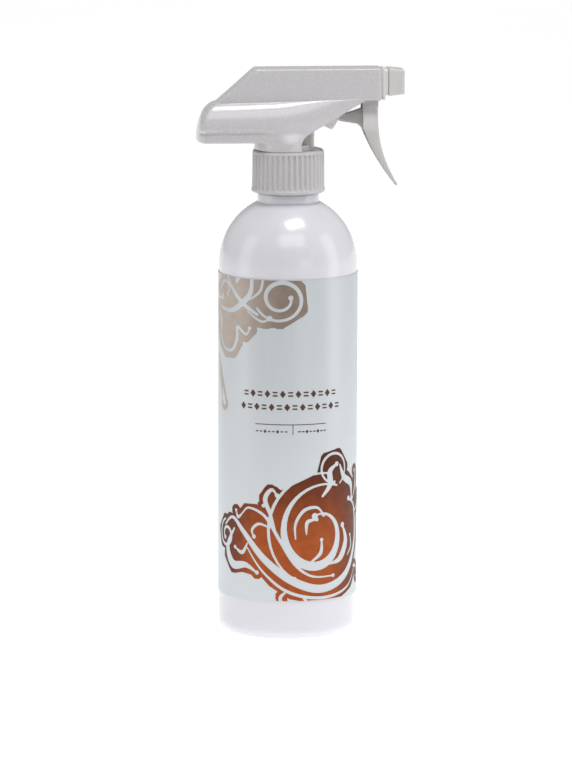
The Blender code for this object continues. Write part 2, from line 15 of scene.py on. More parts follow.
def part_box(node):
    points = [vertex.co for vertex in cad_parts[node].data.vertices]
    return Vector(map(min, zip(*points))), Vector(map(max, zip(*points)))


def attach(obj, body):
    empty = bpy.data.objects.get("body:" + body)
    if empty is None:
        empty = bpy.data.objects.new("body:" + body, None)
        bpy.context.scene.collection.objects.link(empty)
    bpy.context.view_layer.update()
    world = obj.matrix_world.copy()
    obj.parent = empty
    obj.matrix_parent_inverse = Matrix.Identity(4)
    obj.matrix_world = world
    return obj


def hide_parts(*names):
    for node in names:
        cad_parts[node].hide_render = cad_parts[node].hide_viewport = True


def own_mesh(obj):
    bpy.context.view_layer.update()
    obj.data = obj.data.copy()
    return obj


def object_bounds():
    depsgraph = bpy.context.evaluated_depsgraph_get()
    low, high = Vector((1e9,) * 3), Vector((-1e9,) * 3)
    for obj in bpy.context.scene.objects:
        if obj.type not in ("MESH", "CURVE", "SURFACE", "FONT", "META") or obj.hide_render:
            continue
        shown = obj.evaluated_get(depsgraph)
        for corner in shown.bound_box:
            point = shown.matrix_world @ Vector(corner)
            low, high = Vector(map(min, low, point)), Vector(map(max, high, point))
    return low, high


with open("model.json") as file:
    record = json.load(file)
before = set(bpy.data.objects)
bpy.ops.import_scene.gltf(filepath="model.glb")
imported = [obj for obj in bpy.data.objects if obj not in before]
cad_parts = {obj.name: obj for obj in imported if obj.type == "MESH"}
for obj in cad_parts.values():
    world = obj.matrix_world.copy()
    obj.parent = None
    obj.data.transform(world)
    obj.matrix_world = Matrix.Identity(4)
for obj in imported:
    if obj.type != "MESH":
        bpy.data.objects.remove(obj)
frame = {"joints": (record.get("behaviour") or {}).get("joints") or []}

cad_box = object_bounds()
MM = 0.001


def box_mm(node):
    """Lowest and highest corner of a CAD node, in millimetres."""
    low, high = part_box(node)
    return low / MM, high / MM


# Places read from the frame.
BOTTLE = box_mm("bottle")
LABEL = box_mm("label")
COLLAR = box_mm("collar")
GASKET = box_mm("neck_gasket")
PUMP = box_mm("pump_body")
RETAINER = box_mm("tube_retainer")
TUBE = box_mm("dip_tube")
BALL = box_mm("inlet_ball")
SPINNER = box_mm("spinner")
NOZZLE = box_mm("nozzle")
SHROUD = box_mm("shroud")
TRIGGER = box_mm("trigger")
JOINTS = {joint["name"]: joint for joint in frame["joints"]}
PIVOT = Vector(JOINTS["trigger_pull"]["pos_m"]) / MM
STROKE_AXIS = Vector(JOINTS["piston_stroke"]["axis"])
NOZZLE_Z = (NOZZLE[0].z + NOZZLE[1].z) / 2

# Driving dimensions of the fine surfaces.
WALL = 1.0
HEEL_R = 5.8
SHOULDER_Z = 168.8
NECK_RING_R = 13.9
NECK_RING_Z = (197.9, 200.9)
NECK_ROOT_R = 12.55
NECK_BORE_R = 10.9
NECK_CREST_R = 13.75
PAD_R = 9.0
PUSH_UP = 1.1
PITCH = 25.4 / 6
THREAD_TURNS = 1.5
THREAD_START_Z = 203.6
LABEL_FACE_R = 31.63
FOIL_FACE_R = 31.69
FOIL_BACK_R = 31.58
LABEL_SEAM = radians(3.0)
COLLAR_BORE_R = 14.1
COLLAR_CREST_R = 12.95
WEB_Z = (217.6, 218.8)
RIBS = 40
RIB_DEPTH = 0.8
MOUTH = Vector((22.3, 0.0, 234.6))
CYLINDER_DEPTH = 16.2
CYLINDER_R = 6.3
CYLINDER_BORE_R = 5.5
SEAT_X = 40.4
BOSS_R = 4.4
BOSS_END_X = 49.2
PLATE_X = (42.1, 43.3)
PLATE_LOW_Z = 243.1
FORK_Y = (3.8, 4.9)
SHROUD_WALL = 0.9
SHROUD_BOTTOM_Z = 224.5
CREASE_Z = 241.9
CREASE_RISE = 2.0
BOX_HALF = 7.8
BULGE_HALF = 13.4
LIP_HALF = 12.6
REAR_CORNER_X = -38.0
REAR_X = -33.0
FOOT_R = 14.0
FLARE_R = 15.5
DECK_R = 14.3
DECK_OPEN = 70.8
FLANGE_R = 13.3
STEM_R = 11.2
PLATE_HALF = 7.3
PANEL_DEPTH = 0.16
TOP_EDGE_R = 0.6
BOX_TOP_HALF = 7.35
BULGE_DROP = 12.0
SLOPE_TOP_Z = 257.0
SLOPE_RUN = 16.9
REAR_BOW = 8.75
REAR_BOW_DROP = 15.9
FOOT_LOW_Z = 219.3
CHEEK_X = 31.5
DISCHARGE_R = 3.4
CHANNEL_R = 1.5
TRUNNION_R = 1.7
TRUNNION_HOLE_R = 2.0
ARM_HALF = 1.8


# ---- Mesh tools

def axis_frame(origin, direction):
    """Matrix that carries local +Z onto direction and keeps local +Y on world +Y."""
    along = Vector(direction).normalized()
    side = Vector((0.0, 1.0, 0.0))
    turn = Matrix((side.cross(along), side, along)).transposed().to_4x4()
    turn.translation = Vector(origin)
    return turn


UPRIGHT = Matrix.Identity(4)
FORWARD = axis_frame((0.0, 0.0, NOZZLE_Z), (1.0, 0.0, 0.0))
STROKE = axis_frame(MOUTH, STROKE_AXIS)
ACROSS = Matrix.Translation(PIVOT) @ Matrix.Rotation(radians(-90.0), 4, "X")


def link(item):
    bpy.context.scene.collection.objects.link(item)
    return item


def link_mesh(name, build):
    """Object from a finished bmesh."""
    mesh = bpy.data.meshes.new(name)
    build.to_mesh(mesh)
    build.free()
    return link(bpy.data.objects.new(name, mesh))


def new_object(name, build, turn=UPRIGHT):
    """Closed solid from a bmesh drawn in millimetres."""
    bmesh.ops.remove_doubles(build, verts=build.verts, dist=1e-4)
    bmesh.ops.recalc_face_normals(build, faces=build.faces)
    if build.calc_volume(signed=True) < 0.0:
        bmesh.ops.reverse_faces(build, faces=build.faces)
    bmesh.ops.transform(build, matrix=turn, verts=build.verts)
    return link_mesh(name, build)


def apply_modifiers(item):
    graph = bpy.context.evaluated_depsgraph_get()
    mesh = bpy.data.meshes.new_from_object(item.evaluated_get(graph))
    item.modifiers.clear()
    item.data = mesh
    return item


def combine(target, tools, operation):
    """Join or cut target with all the tools at once, and remove the tools."""
    group = bpy.data.collections.new("tools")
    for tool in tools:
        group.objects.link(tool)
    modifier = target.modifiers.new("combine", "BOOLEAN")
    modifier.operation = operation
    modifier.solver = "EXACT"
    modifier.operand_type = "COLLECTION"
    modifier.collection = group
    apply_modifiers(target)
    for tool in tools:
        bpy.data.objects.remove(tool, do_unlink=True)
    bpy.data.collections.remove(group)
    build = bmesh.new()
    build.from_mesh(target.data)
    bmesh.ops.remove_doubles(build, verts=build.verts, dist=2e-3)
    bmesh.ops.dissolve_degenerate(build, edges=build.edges, dist=1e-3)
    build.to_mesh(target.data)
    build.free()


def soften(item, width, angle=35.0, segments=2):
    """Round every edge that is sharper than the angle."""
    modifier = item.modifiers.new("soften", "BEVEL")
    modifier.width = width
    modifier.segments = segments
    modifier.limit_method = "ANGLE"
    modifier.angle_limit = radians(angle)
    modifier.use_clamp_overlap = True
    return apply_modifiers(item)


def settle(item, material, body, slot, *nodes, sharp=40.0):
    """Bring a piece to metres, shade it and put it in place of its CAD nodes."""
    item.data.materials.clear()
    item.data.materials.append(material)
    item.data.transform(Matrix.Scale(MM, 4))
    item.data.shade_smooth()
    item.data.set_sharp_from_angle(angle=radians(sharp))
    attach(item, body)
    if nodes:
        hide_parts(*nodes)


def arc(centre, radius, start, end, steps):
    """Points of an arc in a plane, with its angles in degrees."""
    angles = [radians(start + (end - start) * i / steps) for i in range(steps + 1)]
    return [(centre[0] + radius * cos(a), centre[1] + radius * sin(a)) for a in angles]


def rounded(points, steps=4):
    """Closed outline of (x, y) or (x, y, radius) points with its corners rounded."""
    outline = []
    for i, (x, y, *radius) in enumerate(points):
        corner = Vector((x, y))
        before = Vector(points[i - 1][:2]) - corner
        after = Vector(points[(i + 1) % len(points)][:2]) - corner
        half = before.angle(after) / 2
        if not radius or half > 1.5:
            outline.append((x, y))
            continue
        reach = min(radius[0] / tan(half), 0.49 * before.length, 0.49 * after.length)
        size = reach * tan(half)
        before.normalize()
        after.normalize()
        centre = corner + (before + after).normalized() * (size / sin(half))
        first, last = corner + before * reach - centre, corner + after * reach - centre
        sweep = first.angle(last)
        for k in range(steps + 1):
            t = k / steps
            spot = (first * sin((1 - t) * sweep) + last * sin(t * sweep)) / sin(sweep)
            outline.append(tuple(centre + spot))
    return outline


def slab(low_x, high_x, low_y, high_y, radius, steps=4):
    """Outline of a rectangle with rounded corners."""
    corners = ((low_x, low_y), (high_x, low_y), (high_x, high_y), (low_x, high_y))
    return rounded([(*corner, radius) for corner in corners], steps)


def rounded_square(half, radius):
    return slab(-half, half, -half, half, radius, 8)


def both_sides(near, far):
    """Ranges of y on the right-hand and the left-hand side."""
    return (-far, -near), (near, far)


def turned(name, profile, segments=96, turn=UPRIGHT, angle=2 * pi, start=0.0):
    """Body of revolution about local Z from (radius, height) points."""
    build = bmesh.new()
    verts = [build.verts.new((r, 0.0, h)) for r, h in profile]
    on_axis = profile[0][0] == 0.0 and profile[-1][0] == 0.0
    count = len(verts) - 1 if on_axis else len(verts)
    edges = [build.edges.new((verts[i], verts[(i + 1) % len(verts)])) for i in range(count)]
    whole = angle >= 2 * pi
    caps = [] if whole else [build.faces.new(verts)]
    bmesh.ops.rotate(build, verts=build.verts, cent=(0, 0, 0), matrix=Matrix.Rotation(start, 3, "Z"))
    spun = bmesh.ops.spin(build, geom=verts + edges, cent=(0, 0, 0), axis=(0, 0, 1),
                          dvec=(0, 0, 0), angle=angle, steps=segments, use_merge=whole)
    if caps:
        end_edges = [e for e in spun["geom_last"] if isinstance(e, bmesh.types.BMEdge)]
        bmesh.ops.contextual_create(build, geom=end_edges)
    return new_object(name, build, turn)


def rod(name, radius, start, end, turn=UPRIGHT, segments=64):
    return turned(name, [(0.0, start), (radius, start), (radius, end), (0.0, end)], segments, turn)


def extruded(name, outline, half_width, centre_y=0.0):
    """Side outline of (x, z) points, extruded across the object."""
    build = bmesh.new()
    face = build.faces.new([build.verts.new((x, centre_y - half_width, z)) for x, z in outline])
    grown = bmesh.ops.extrude_face_region(build, geom=[face])
    moved = [v for v in grown["geom"] if isinstance(v, bmesh.types.BMVert)]
    bmesh.ops.translate(build, vec=(0.0, 2 * half_width, 0.0), verts=moved)
    return new_object(name, build)


def block(name, low, high):
    outline = [(low[0], low[2]), (high[0], low[2]), (high[0], high[2]), (low[0], high[2])]
    return extruded(name, outline, (high[1] - low[1]) / 2, (high[1] + low[1]) / 2)


def skinned(name, sections, turn=UPRIGHT):
    """Closed body through rings of points, with a flat cap on each end."""
    build = bmesh.new()
    rings = [[build.verts.new(p) for p in section] for section in sections]
    count = len(rings[0])
    for low, high in zip(rings, rings[1:]):
        for i in range(count):
            j = (i + 1) % count
            build.faces.new((low[i], low[j], high[j], high[i]))
    build.faces.new(rings[0])
    build.faces.new(rings[-1])
    return new_object(name, build, turn)


def prism(name, outline, heights, turn=UPRIGHT):
    return skinned(name, [[(x, y, z) for x, y in outline] for z in heights], turn)


def screw_ridge(name, root_r, crest_r, middle_z, root_half, crest_half):
    """Helical ridge that fades out over the first and last part of a turn."""
    steps = int(THREAD_TURNS * 72)
    fade = 10
    bury = 0.45 if root_r > crest_r else -0.45
    sections = []
    for i in range(steps + 1):
        angle = 2 * pi * THREAD_TURNS * i / steps
        z = middle_z + PITCH * THREAD_TURNS * i / steps
        full = min(1.0, (i + 0.5) / fade, (steps - i + 0.5) / fade)
        crest = root_r + (crest_r - root_r) * sin(full * pi / 2)
        ring = [(root_r + bury, -root_half), (root_r, -root_half), (crest, -crest_half),
                (crest, crest_half), (root_r, root_half), (root_r + bury, root_half)]
        sections.append([(r * cos(angle), r * sin(angle), z + h) for r, h in ring])
    return skinned(name, sections)


def smooth_step(value, low, high):
    """0 up to low, 1 from high, and smooth between."""
    t = min(1.0, max(0.0, (value - low) / (high - low)))
    return t * t * (3 - 2 * t)


# ---- Materials

def new_material(name):
    material = bpy.data.materials.new(name)
    material.use_nodes = True
    tree = material.node_tree
    return material, tree, tree.nodes["Principled BSDF"]


def add_node(tree, kind, inputs=None, **settings):
    """Shader node with its inputs linked to sockets or set to values."""
    node = tree.nodes.new("ShaderNode" + kind)
    for key, value in settings.items():
        setattr(node, key, value)
    for key, value in (inputs or {}).items():
        if isinstance(value, bpy.types.NodeSocket):
            tree.links.new(value, node.inputs[key])
        else:
            node.inputs[key].default_value = value
    return node


def noise(tree, scale, detail=3.0, stretch=(1.0, 1.0, 1.0)):
    """Noise value in object space, with scale in cycles per metre."""
    place = add_node(tree, "TexCoord")
    mapping = add_node(tree, "Mapping", {"Vector": place.outputs["Object"], "Scale": stretch})
    vector = mapping.outputs["Vector"]
    texture = add_node(tree, "TexNoise", {"Vector": vector, "Scale": scale, "Detail": detail})
    return texture.outputs["Fac"]


def spread(tree, value, low, high):
    """Noise value mapped onto a range."""
    node = add_node(tree, "MapRange", {"Value": value, "From Min": 0.3, "From Max": 0.7,
                                                 "To Min": low, "To Max": high})
    return node.outputs["Result"]


def blend_colour(tree, factor, first, second):
    ramp = add_node(tree, "ValToRGB", {"Fac": factor})
    ramp.color_ramp.elements[0].color = (*first, 1.0)
    ramp.color_ramp.elements[1].color = (*second, 1.0)
    ramp.color_ramp.elements[0].position = 0.3
    ramp.color_ramp.elements[1].position = 0.7
    return ramp.outputs["Color"]


def connect(tree, shader, colour, roughness, fixed=None, bump=None):
    """Give a shader its colour and roughness sockets, its even values and (height, strength, depth)."""
    tree.links.new(colour, shader.inputs["Base Color"])
    tree.links.new(roughness, shader.inputs["Roughness"])
    for key, value in (fixed or {}).items():
        shader.inputs[key].default_value = value
    if bump:
        height, strength, depth = bump
        node = add_node(tree, "Bump", {"Height": height, "Strength": strength, "Distance": depth})
        tree.links.new(node.outputs["Normal"], shader.inputs["Normal"])


def surface(name, tones, cloud, gloss, patches, fixed=None, relief=None):
    """Material whose tone, gloss and relief follow noise, each given by its scale and detail."""
    material, tree, shader = new_material(name)
    bump = relief and (noise(tree, *relief[0]), relief[1], relief[2])
    connect(tree, shader, blend_colour(tree, noise(tree, *cloud), *tones),
            spread(tree, noise(tree, *patches), *gloss), fixed, bump)
    return material


def moulded(name, colour, roughness, coat=0.0, relief=0.03):
    """Moulded plastic: faint cloudiness, uneven gloss and a fine orange-peel skin."""
    dull = tuple(c * 0.995 for c in colour)
    return surface(name, (dull, colour), (45.0,), (roughness - 0.02, roughness + 0.02), (900.0,),
                   {"Coat Weight": coat, "Coat Roughness": 0.08}, ((1400.0, 2.0), relief, 0.00005))


def clear_plastic(name, colour, roughness):
    """Natural, slightly milky polyethylene."""
    material = moulded(name, colour, roughness)
    shader = material.node_tree.nodes["Principled BSDF"]
    shader.inputs["Subsurface Weight"].default_value = 0.25
    shader.inputs["Subsurface Scale"].default_value = 0.002
    return material


def along_axis(tree, axis, low, high):
    """0 to 1 along an object axis between two places in millimetres."""
    place = add_node(tree, "TexCoord")
    split = add_node(tree, "SeparateXYZ", {"Vector": place.outputs["Object"]})
    node = add_node(tree, "MapRange", {"Value": split.outputs[axis], "From Min": low * MM,
                                                 "From Max": high * MM}, interpolation_type="SMOOTHSTEP")
    return node.outputs["Result"]


def mix_colour(tree, factor, first, second):
    """Mix of two colours, each a socket or a tuple."""
    node = add_node(tree, "Mix", {"Factor": factor}, data_type="RGBA")
    for socket, value in ((node.inputs[6], first), (node.inputs[7], second)):
        if isinstance(value, bpy.types.NodeSocket):
            tree.links.new(value, socket)
        else:
            socket.default_value = (*value, 1.0)
    return node.outputs[2]


def printed(name, bright, dark, runs, gloss, fixed, relief):
    """Printed ink that darkens along each run: an axis and two places on it in millimetres."""
    material, tree, shader = new_material(name)
    speckle = noise(tree, 260.0, 4.0)
    tone = blend_colour(tree, speckle, *bright)
    deep = blend_colour(tree, speckle, *dark)
    for run in runs:
        tone = mix_colour(tree, along_axis(tree, *run), tone, deep)
    connect(tree, shader, tone, spread(tree, noise(tree, 700.0), *gloss), fixed,
            (noise(tree, 1500.0, 2.0), relief, 0.00004))
    return material


BOTTLE_WHITE = moulded("bottle_white", (0.655, 0.650, 0.695), 0.24, coat=0.6)
SHROUD_WHITE = moulded("shroud_white", (0.535, 0.520, 0.535), 0.27, coat=0.55)
COLLAR_WHITE = moulded("collar_white", (0.500, 0.488, 0.497), 0.34)
TRIGGER_WHITE = moulded("trigger_white", (0.495, 0.48, 0.474), 0.36)
BODY_WHITE = moulded("body_white", (0.63, 0.62, 0.60), 0.36)
NOZZLE_WHITE = moulded("nozzle_white", (0.565, 0.55, 0.545), 0.36)
SOFT_SEAL = moulded("soft_seal", (0.70, 0.69, 0.66), 0.58, relief=0.15)
NATURAL = clear_plastic("natural_pe", (0.74, 0.75, 0.73), 0.38)
TUBE_PLASTIC = clear_plastic("tube_pe", (0.78, 0.79, 0.77), 0.3)
# Drawn stainless wire and polished ball.
STEEL = surface("spring_steel", ((0.42, 0.42, 0.41), (0.62, 0.62, 0.60)), (1800.0, 4.0), (0.18, 0.34),
                (2400.0,), {"Metallic": 1.0})
# Pale satin film with faint lengthwise brushing and a slow change of tone.
BRUSHED = (900.0, 3.0, (1.0, 1.0, 0.05))
FILM = surface("label_film", ((0.552, 0.582, 0.606), (0.568, 0.599, 0.623)), (14.0, 2.0), (0.33, 0.43),
               BRUSHED, {"Metallic": 0.15}, (BRUSHED, 0.05, 0.00004))
# Copper ink is burnt brown towards the top and the sides, and taupe ink darker towards the right.
COPPER = printed("copper_print", ((0.30, 0.058, 0.008), (0.37, 0.080, 0.014)),
                 ((0.065, 0.012, 0.003), (0.090, 0.018, 0.004)),
                 (("Z", 42.0, 82.0), ("X", 14.0, 33.0), ("X", -16.0, -31.0)),
                 (0.38, 0.50), {"Metallic": 0.3, "Specular IOR Level": 0.3}, 0.06)
TAUPE = printed("taupe_print", ((0.40, 0.335, 0.285), (0.45, 0.38, 0.33)),
                ((0.21, 0.160, 0.125), (0.25, 0.195, 0.155)),
                (("X", -29.0, -2.0),), (0.36, 0.46), {"Metallic": 0.2}, 0.05)
BROWN = surface("brown_ink", ((0.045, 0.016, 0.008), (0.085, 0.030, 0.012)), (400.0, 4.0), (0.38, 0.5),
                (900.0,))


# ---- Bottle and label

def make_bottle():
    radius = BOTTLE[1].x
    lip = BOTTLE[1].z
    ring_r = radius - HEEL_R
    inner_r = radius - WALL
    floor = WALL + 0.1
    top_angle = degrees(acos(NECK_RING_R / radius))
    inner_angle = degrees(acos(NECK_BORE_R / inner_r))
    low, high = NECK_RING_Z
    outside = [(0.0, 0.0), (PAD_R, 0.0), (PAD_R + 0.5, 0.3), (PAD_R + 1.1, 0.8), (PAD_R + 1.5, PUSH_UP),
               (ring_r - 3.0, PUSH_UP), (ring_r - 2.2, 0.8), (ring_r - 1.3, 0.0)]
    outside += arc((ring_r, HEEL_R), HEEL_R, -90, 0, 18)
    outside += [(radius, 60.0), (radius, 110.0)]
    outside += arc((0.0, SHOULDER_Z), radius, 0, top_angle, 56)
    outside += arc((NECK_RING_R - 0.5, low + 0.5), 0.5, -20, 0, 3)
    outside += arc((NECK_RING_R - 0.4, high - 0.5), 0.4, 0, 90, 5)
    outside += [(NECK_ROOT_R + 0.2, high + 0.02), (NECK_ROOT_R, high + 0.3)]
    outside += arc((NECK_ROOT_R - 0.5, lip - 0.5), 0.5, 0, 90, 5)
    inside = arc((NECK_BORE_R + 0.4, lip - 0.4), 0.4, 90, 180, 4)
    inside += arc((0.0, SHOULDER_Z), inner_r, inner_angle, 0, 40)
    inside += arc((ring_r, HEEL_R), HEEL_R - WALL, 0, -90, 10)
    inside += [(ring_r - 0.9, floor), (ring_r - 2.6, PUSH_UP + floor),
               (PAD_R + 1.0, PUSH_UP + floor), (PAD_R - 0.6, floor), (0.0, floor)]
    bottle = turned("bottle_shell", outside + inside, 192)
    ridge = screw_ridge("ridge", NECK_ROOT_R, NECK_CREST_R, THREAD_START_Z, 1.1, 0.45)
    combine(bottle, [ridge], "UNION")
    settle(bottle, BOTTLE_WHITE, "container", "bottle_white", "bottle", sharp=32.0)


def make_label():
    low, high = LABEL[0].z, LABEL[1].z
    outline = rounded([(31.5, low), (LABEL_FACE_R, low, 0.05), (LABEL_FACE_R, high, 0.05), (31.5, high)], 2)
    label = turned("label_sleeve", outline, 240, UPRIGHT, 2 * pi - LABEL_SEAM,
                   pi / 2 + LABEL_SEAM / 2)
    settle(label, FILM, "container", "label_film", "label", sharp=50.0)


# ---- Printed ornament

FAR = 99.0
FACET_STEPS = 7


class Print:
    """Distances on the unrolled label, in millimetres, with u round the bottle from its front.

    line is the distance to the nearest ribbon, negative inside it, and halo the same with faceted ends.
    """

    def __init__(self, u_range, z_range, step=0.3):
        self.u = np.arange(u_range[0], u_range[1] + step, step)
        self.z = np.arange(z_range[0], z_range[1] + step, step)
        self.grid_u, self.grid_z = np.meshgrid(self.u, self.z, indexing="ij")
        self.line = np.full(self.grid_u.shape, FAR)
        self.halo = np.full(self.grid_u.shape, FAR)

    def window(self, low, high, margin):
        i = np.searchsorted(self.u, (low[0] - margin, high[0] + margin))
        j = np.searchsorted(self.z, (low[1] - margin, high[1] + margin))
        return slice(*i), slice(*j)

    def offsets(self, a, b, reach=7.0):
        """Cells near a segment: how far each lies across, up, and along it."""
        area = self.window(np.minimum(a, b), np.maximum(a, b), reach)
        du, dz = self.grid_u[area] - a[0], self.grid_z[area] - a[1]
        run = b - a
        t = np.clip((du * run[0] + dz * run[1]) / max(1e-9, run @ run), 0, 1)
        return area, np.abs(du - run[0] * t), np.abs(dz - run[1] * t), t

    def stroke(self, points, widths):
        """Ribbon through the points, whose half width changes along it, and its faceted surround."""
        for a, b, wa, wb in zip(points, points[1:], widths, widths[1:]):
            area, du, dz, t = self.offsets(a, b)
            self.line[area] = np.minimum(self.line[area], np.hypot(du, dz) - wa - (wb - wa) * t)
        corners = [*range(0, len(points) - 1, FACET_STEPS), len(points) - 1]
        for i, j in zip(corners, corners[1:]):
            area, du, dz, t = self.offsets(points[i], points[j])
            facet = np.maximum(np.maximum(du, dz), (du + dz) / sqrt(2))
            self.halo[area] = np.minimum(self.halo[area], facet - widths[i] - (widths[j] - widths[i]) * t)

    def curve(self, points, swell, ball=0.0, tips=(0.35, 0.35)):
        """Smooth ribbon through a few points, thickest in its middle, with an optional ball at its end."""
        knots = np.array([points[0], *points, points[-1]], float)
        path = []
        for p0, p1, p2, p3 in zip(knots, knots[1:], knots[2:], knots[3:]):
            for k in range(10):
                t = k / 10
                path.append(0.5 * (2 * p1 + (p2 - p0) * t + (2 * p0 - 5 * p1 + 4 * p2 - p3) * t ** 2
                                   + (3 * p1 - p0 - 3 * p2 + p3) * t ** 3))
        path.append(knots[-1])
        share = np.linspace(0, 1, len(path))
        widths = tips[0] + (tips[1] - tips[0]) * share + (swell - min(tips)) * np.sin(np.pi * share) ** 1.5
        self.stroke(path, widths)
        if ball:
            self.dot(points[-1], ball)

    def curves(self, *rows):
        for row in rows:
            self.curve(*row)

    def spiral(self, centre, radii, start, turns, widths, ball=0.0, flatten=1.0):
        """Volute from the outer radius to the inner one, with start in degrees."""
        steps = int(abs(turns) * 40)
        share = np.linspace(0, 1, steps + 1)
        angle = np.radians(start) + 2 * np.pi * turns * share
        radius = radii[0] + (radii[1] - radii[0]) * share ** 0.8
        path = [np.array((centre[0] + r * cos(a), centre[1] + flatten * r * sin(a)))
                for r, a in zip(radius, angle)]
        middle = np.sin(np.pi * share) ** 2
        self.stroke(path, widths[0] + (widths[1] - widths[0]) * middle)
        if ball:
            self.dot(path[-1], ball)

    def dot(self, centre, radius):
        spot = np.array(centre, float)
        self.stroke([spot, spot + 1e-3], [radius, radius])

    def ground(self, margin):
        """Field of the coloured ground: a faceted border round the ribbons, with nothing left open inside."""
        outside = np.zeros(self.halo.shape, bool)
        outside[0, :] = outside[-1, :] = outside[:, 0] = outside[:, -1] = True
        free = self.halo > margin
        outside &= free
        while True:
            grown = outside.copy()
            grown[1:] |= outside[:-1]
            grown[:-1] |= outside[1:]
            grown[:, 1:] |= outside[:, :-1]
            grown[:, :-1] |= outside[:, 1:]
            grown &= free
            if (grown == outside).all():
                break
            outside = grown
        return np.where(free & ~outside, -1.0, self.halo - margin)

    def lozenge(self, centre, half_u, half_z):
        du, dz = np.abs(self.grid_u - centre[0]), np.abs(self.grid_z - centre[1])
        shape = (du / half_u + dz / half_z - 1) * min(half_u, half_z) * 0.7
        self.line = np.minimum(self.line, shape)

    def bar(self, centre, half_u, half_z):
        du, dz = np.abs(self.grid_u - centre[0]) - half_u, np.abs(self.grid_z - centre[1]) - half_z
        self.line = np.minimum(self.line, np.maximum(du, dz))

    def sheet(self, name, field, material):
        """Thin closed layer on the label, wherever the field is negative."""
        build = bmesh.new()
        made = {}

        def vertex(key, u, z):
            if key not in made:
                a = u / FOIL_FACE_R
                made[key] = build.verts.new((FOIL_FACE_R * sin(a), -FOIL_FACE_R * cos(a), z))
            return made[key]

        inside = field < 0
        count = inside[:-1, :-1].astype(int) + inside[1:, :-1] + inside[1:, 1:] + inside[:-1, 1:]
        for i, j in np.argwhere(count > 0):
            corners = ((i, j), (i + 1, j), (i + 1, j + 1), (i, j + 1))
            face = []
            for here, there in zip(corners, corners[1:] + corners[:1]):
                if inside[here]:
                    face.append(vertex(here, self.u[here[0]], self.z[here[1]]))
                if inside[here] != inside[there]:
                    t = min(0.96, max(0.04, field[here] / (field[here] - field[there])))
                    u = self.u[here[0]] + (self.u[there[0]] - self.u[here[0]]) * t
                    z = self.z[here[1]] + (self.z[there[1]] - self.z[here[1]]) * t
                    face.append(vertex(tuple(sorted((here, there))), u, z))
            if len(face) > 2:
                build.faces.new(face)
        grown = bmesh.ops.extrude_face_region(build, geom=list(build.faces))
        for vert in grown["geom"]:
            if isinstance(vert, bmesh.types.BMVert):
                scale = FOIL_BACK_R / FOIL_FACE_R
                vert.co.x *= scale
                vert.co.y *= scale
        settle(new_object(name, build), material, "container", "label_film", sharp=50.0)


def make_lower_print():
    low = LABEL[0].z + 0.25
    art = Print((-47.0, 47.0), (low, 90.0))
    # Broad C-scroll that curls into itself, and the fine line that shadows it.
    art.spiral((12.0, 49.0), (21.5, 7.5), 62.0, 1.12, (0.45, 2.1), ball=1.5, flatten=1.12)
    art.spiral((11.5, 49.5), (25.0, 22.0), 78.0, 0.45, (0.45, 0.75), ball=1.1, flatten=1.1)
    art.curves(
        # Long stem that rises from lower left and closes round the right-hand side.
        ([(-37, 51), (-31, 55), (-24, 49), (-13, 37), (0, 27.5), (14, 23.5), (29, 29), (38, 43),
          (37, 58), (31, 63)], 1.9, 1.2, (0.45, 0.5)),
    )
    art.spiral((-36.0, 46.5), (6.4, 2.0), 100.0, 1.35, (0.5, 0.8), ball=1.0, flatten=1.1)
    art.curves(
        # Thin lines that run with the stem.
        ([(-22, 42), (-14, 31.5), (-2, 22.5), (14, 19.3), (30, 22.5), (38, 31)], 0.75, 1.0),
        ([(-25, 57.5), (-21, 60.5), (-13, 57), (-6, 46), (1, 35), (9, 29.5), (20, 29)], 0.8, 0.9),
        ([(-25, 57.5), (-27.5, 55.5), (-28.8, 58.5)], 0.7, 0.8),
        ([(-11, 52), (-16, 53.5), (-19.5, 50.5), (-18.5, 47.5)], 0.7, 1.0),
        # Leaves below the stem.
        ([(-30, 50), (-35, 41), (-31, 33.5), (-23, 34), (-17, 31)], 1.9, 1.0, (0.5, 0.4)),
        ([(-22, 44), (-25, 39.5), (-29.5, 41.5)], 0.9, 0.9),
        ([(-3, 23), (-6, 19.5), (-3, 15)], 0.8),
        ([(4, 21), (7, 16.8)], 0.7, 0.9),
        # Sprig on the upper left.
        ([(-8, 50), (-10.5, 58), (-13, 65), (-10, 69.5), (-7.5, 67)], 1.1, 1.0),
    )
    art.dot((-13.8, 62.0), 0.9)
    # Crown: open ring with two leaves that spring from it.
    art.spiral((20.0, 78.0), (8.0, 6.2), -60.0, 0.93, (0.45, 0.65), ball=0.8)
    art.curves(
        ([(14, 66), (18, 71), (18, 77), (22, 80)], 1.5, 1.2, (0.6, 0.5)),
        ([(24, 79.5), (27, 73.5), (33, 69.5), (34, 63)], 1.6, 1.1, (0.4, 0.5)),
        # Leaves inside the scroll.
        ([(1, 47), (1, 54), (5, 60), (11, 61), (14.5, 57.5)], 0.8, 1.0),
        ([(6, 49), (6.5, 54.5), (11, 55.5)], 0.9, 0.9),
        ([(18, 34.5), (24.5, 36.5), (28.5, 44), (26, 51.5)], 1.7, 1.3, (0.4, 0.5)),
        ([(8, 36), (13, 40), (13.5, 46)], 0.9, 0.9),
        ([(30, 37), (33.5, 41), (32.5, 46)], 0.6, 0.8),
        # Tendrils at the right-hand edge.
        ([(35, 62), (38.5, 68), (37.5, 75)], 0.7, 1.0),
        ([(37, 56), (42, 58), (43, 63.5)], 0.7, 0.9),
        ([(36, 31), (40.5, 30), (41, 25.5)], 0.7, 1.1),
    )
    field = np.maximum(art.ground(1.9), -art.line)
    art.sheet("print_copper", field, COPPER)


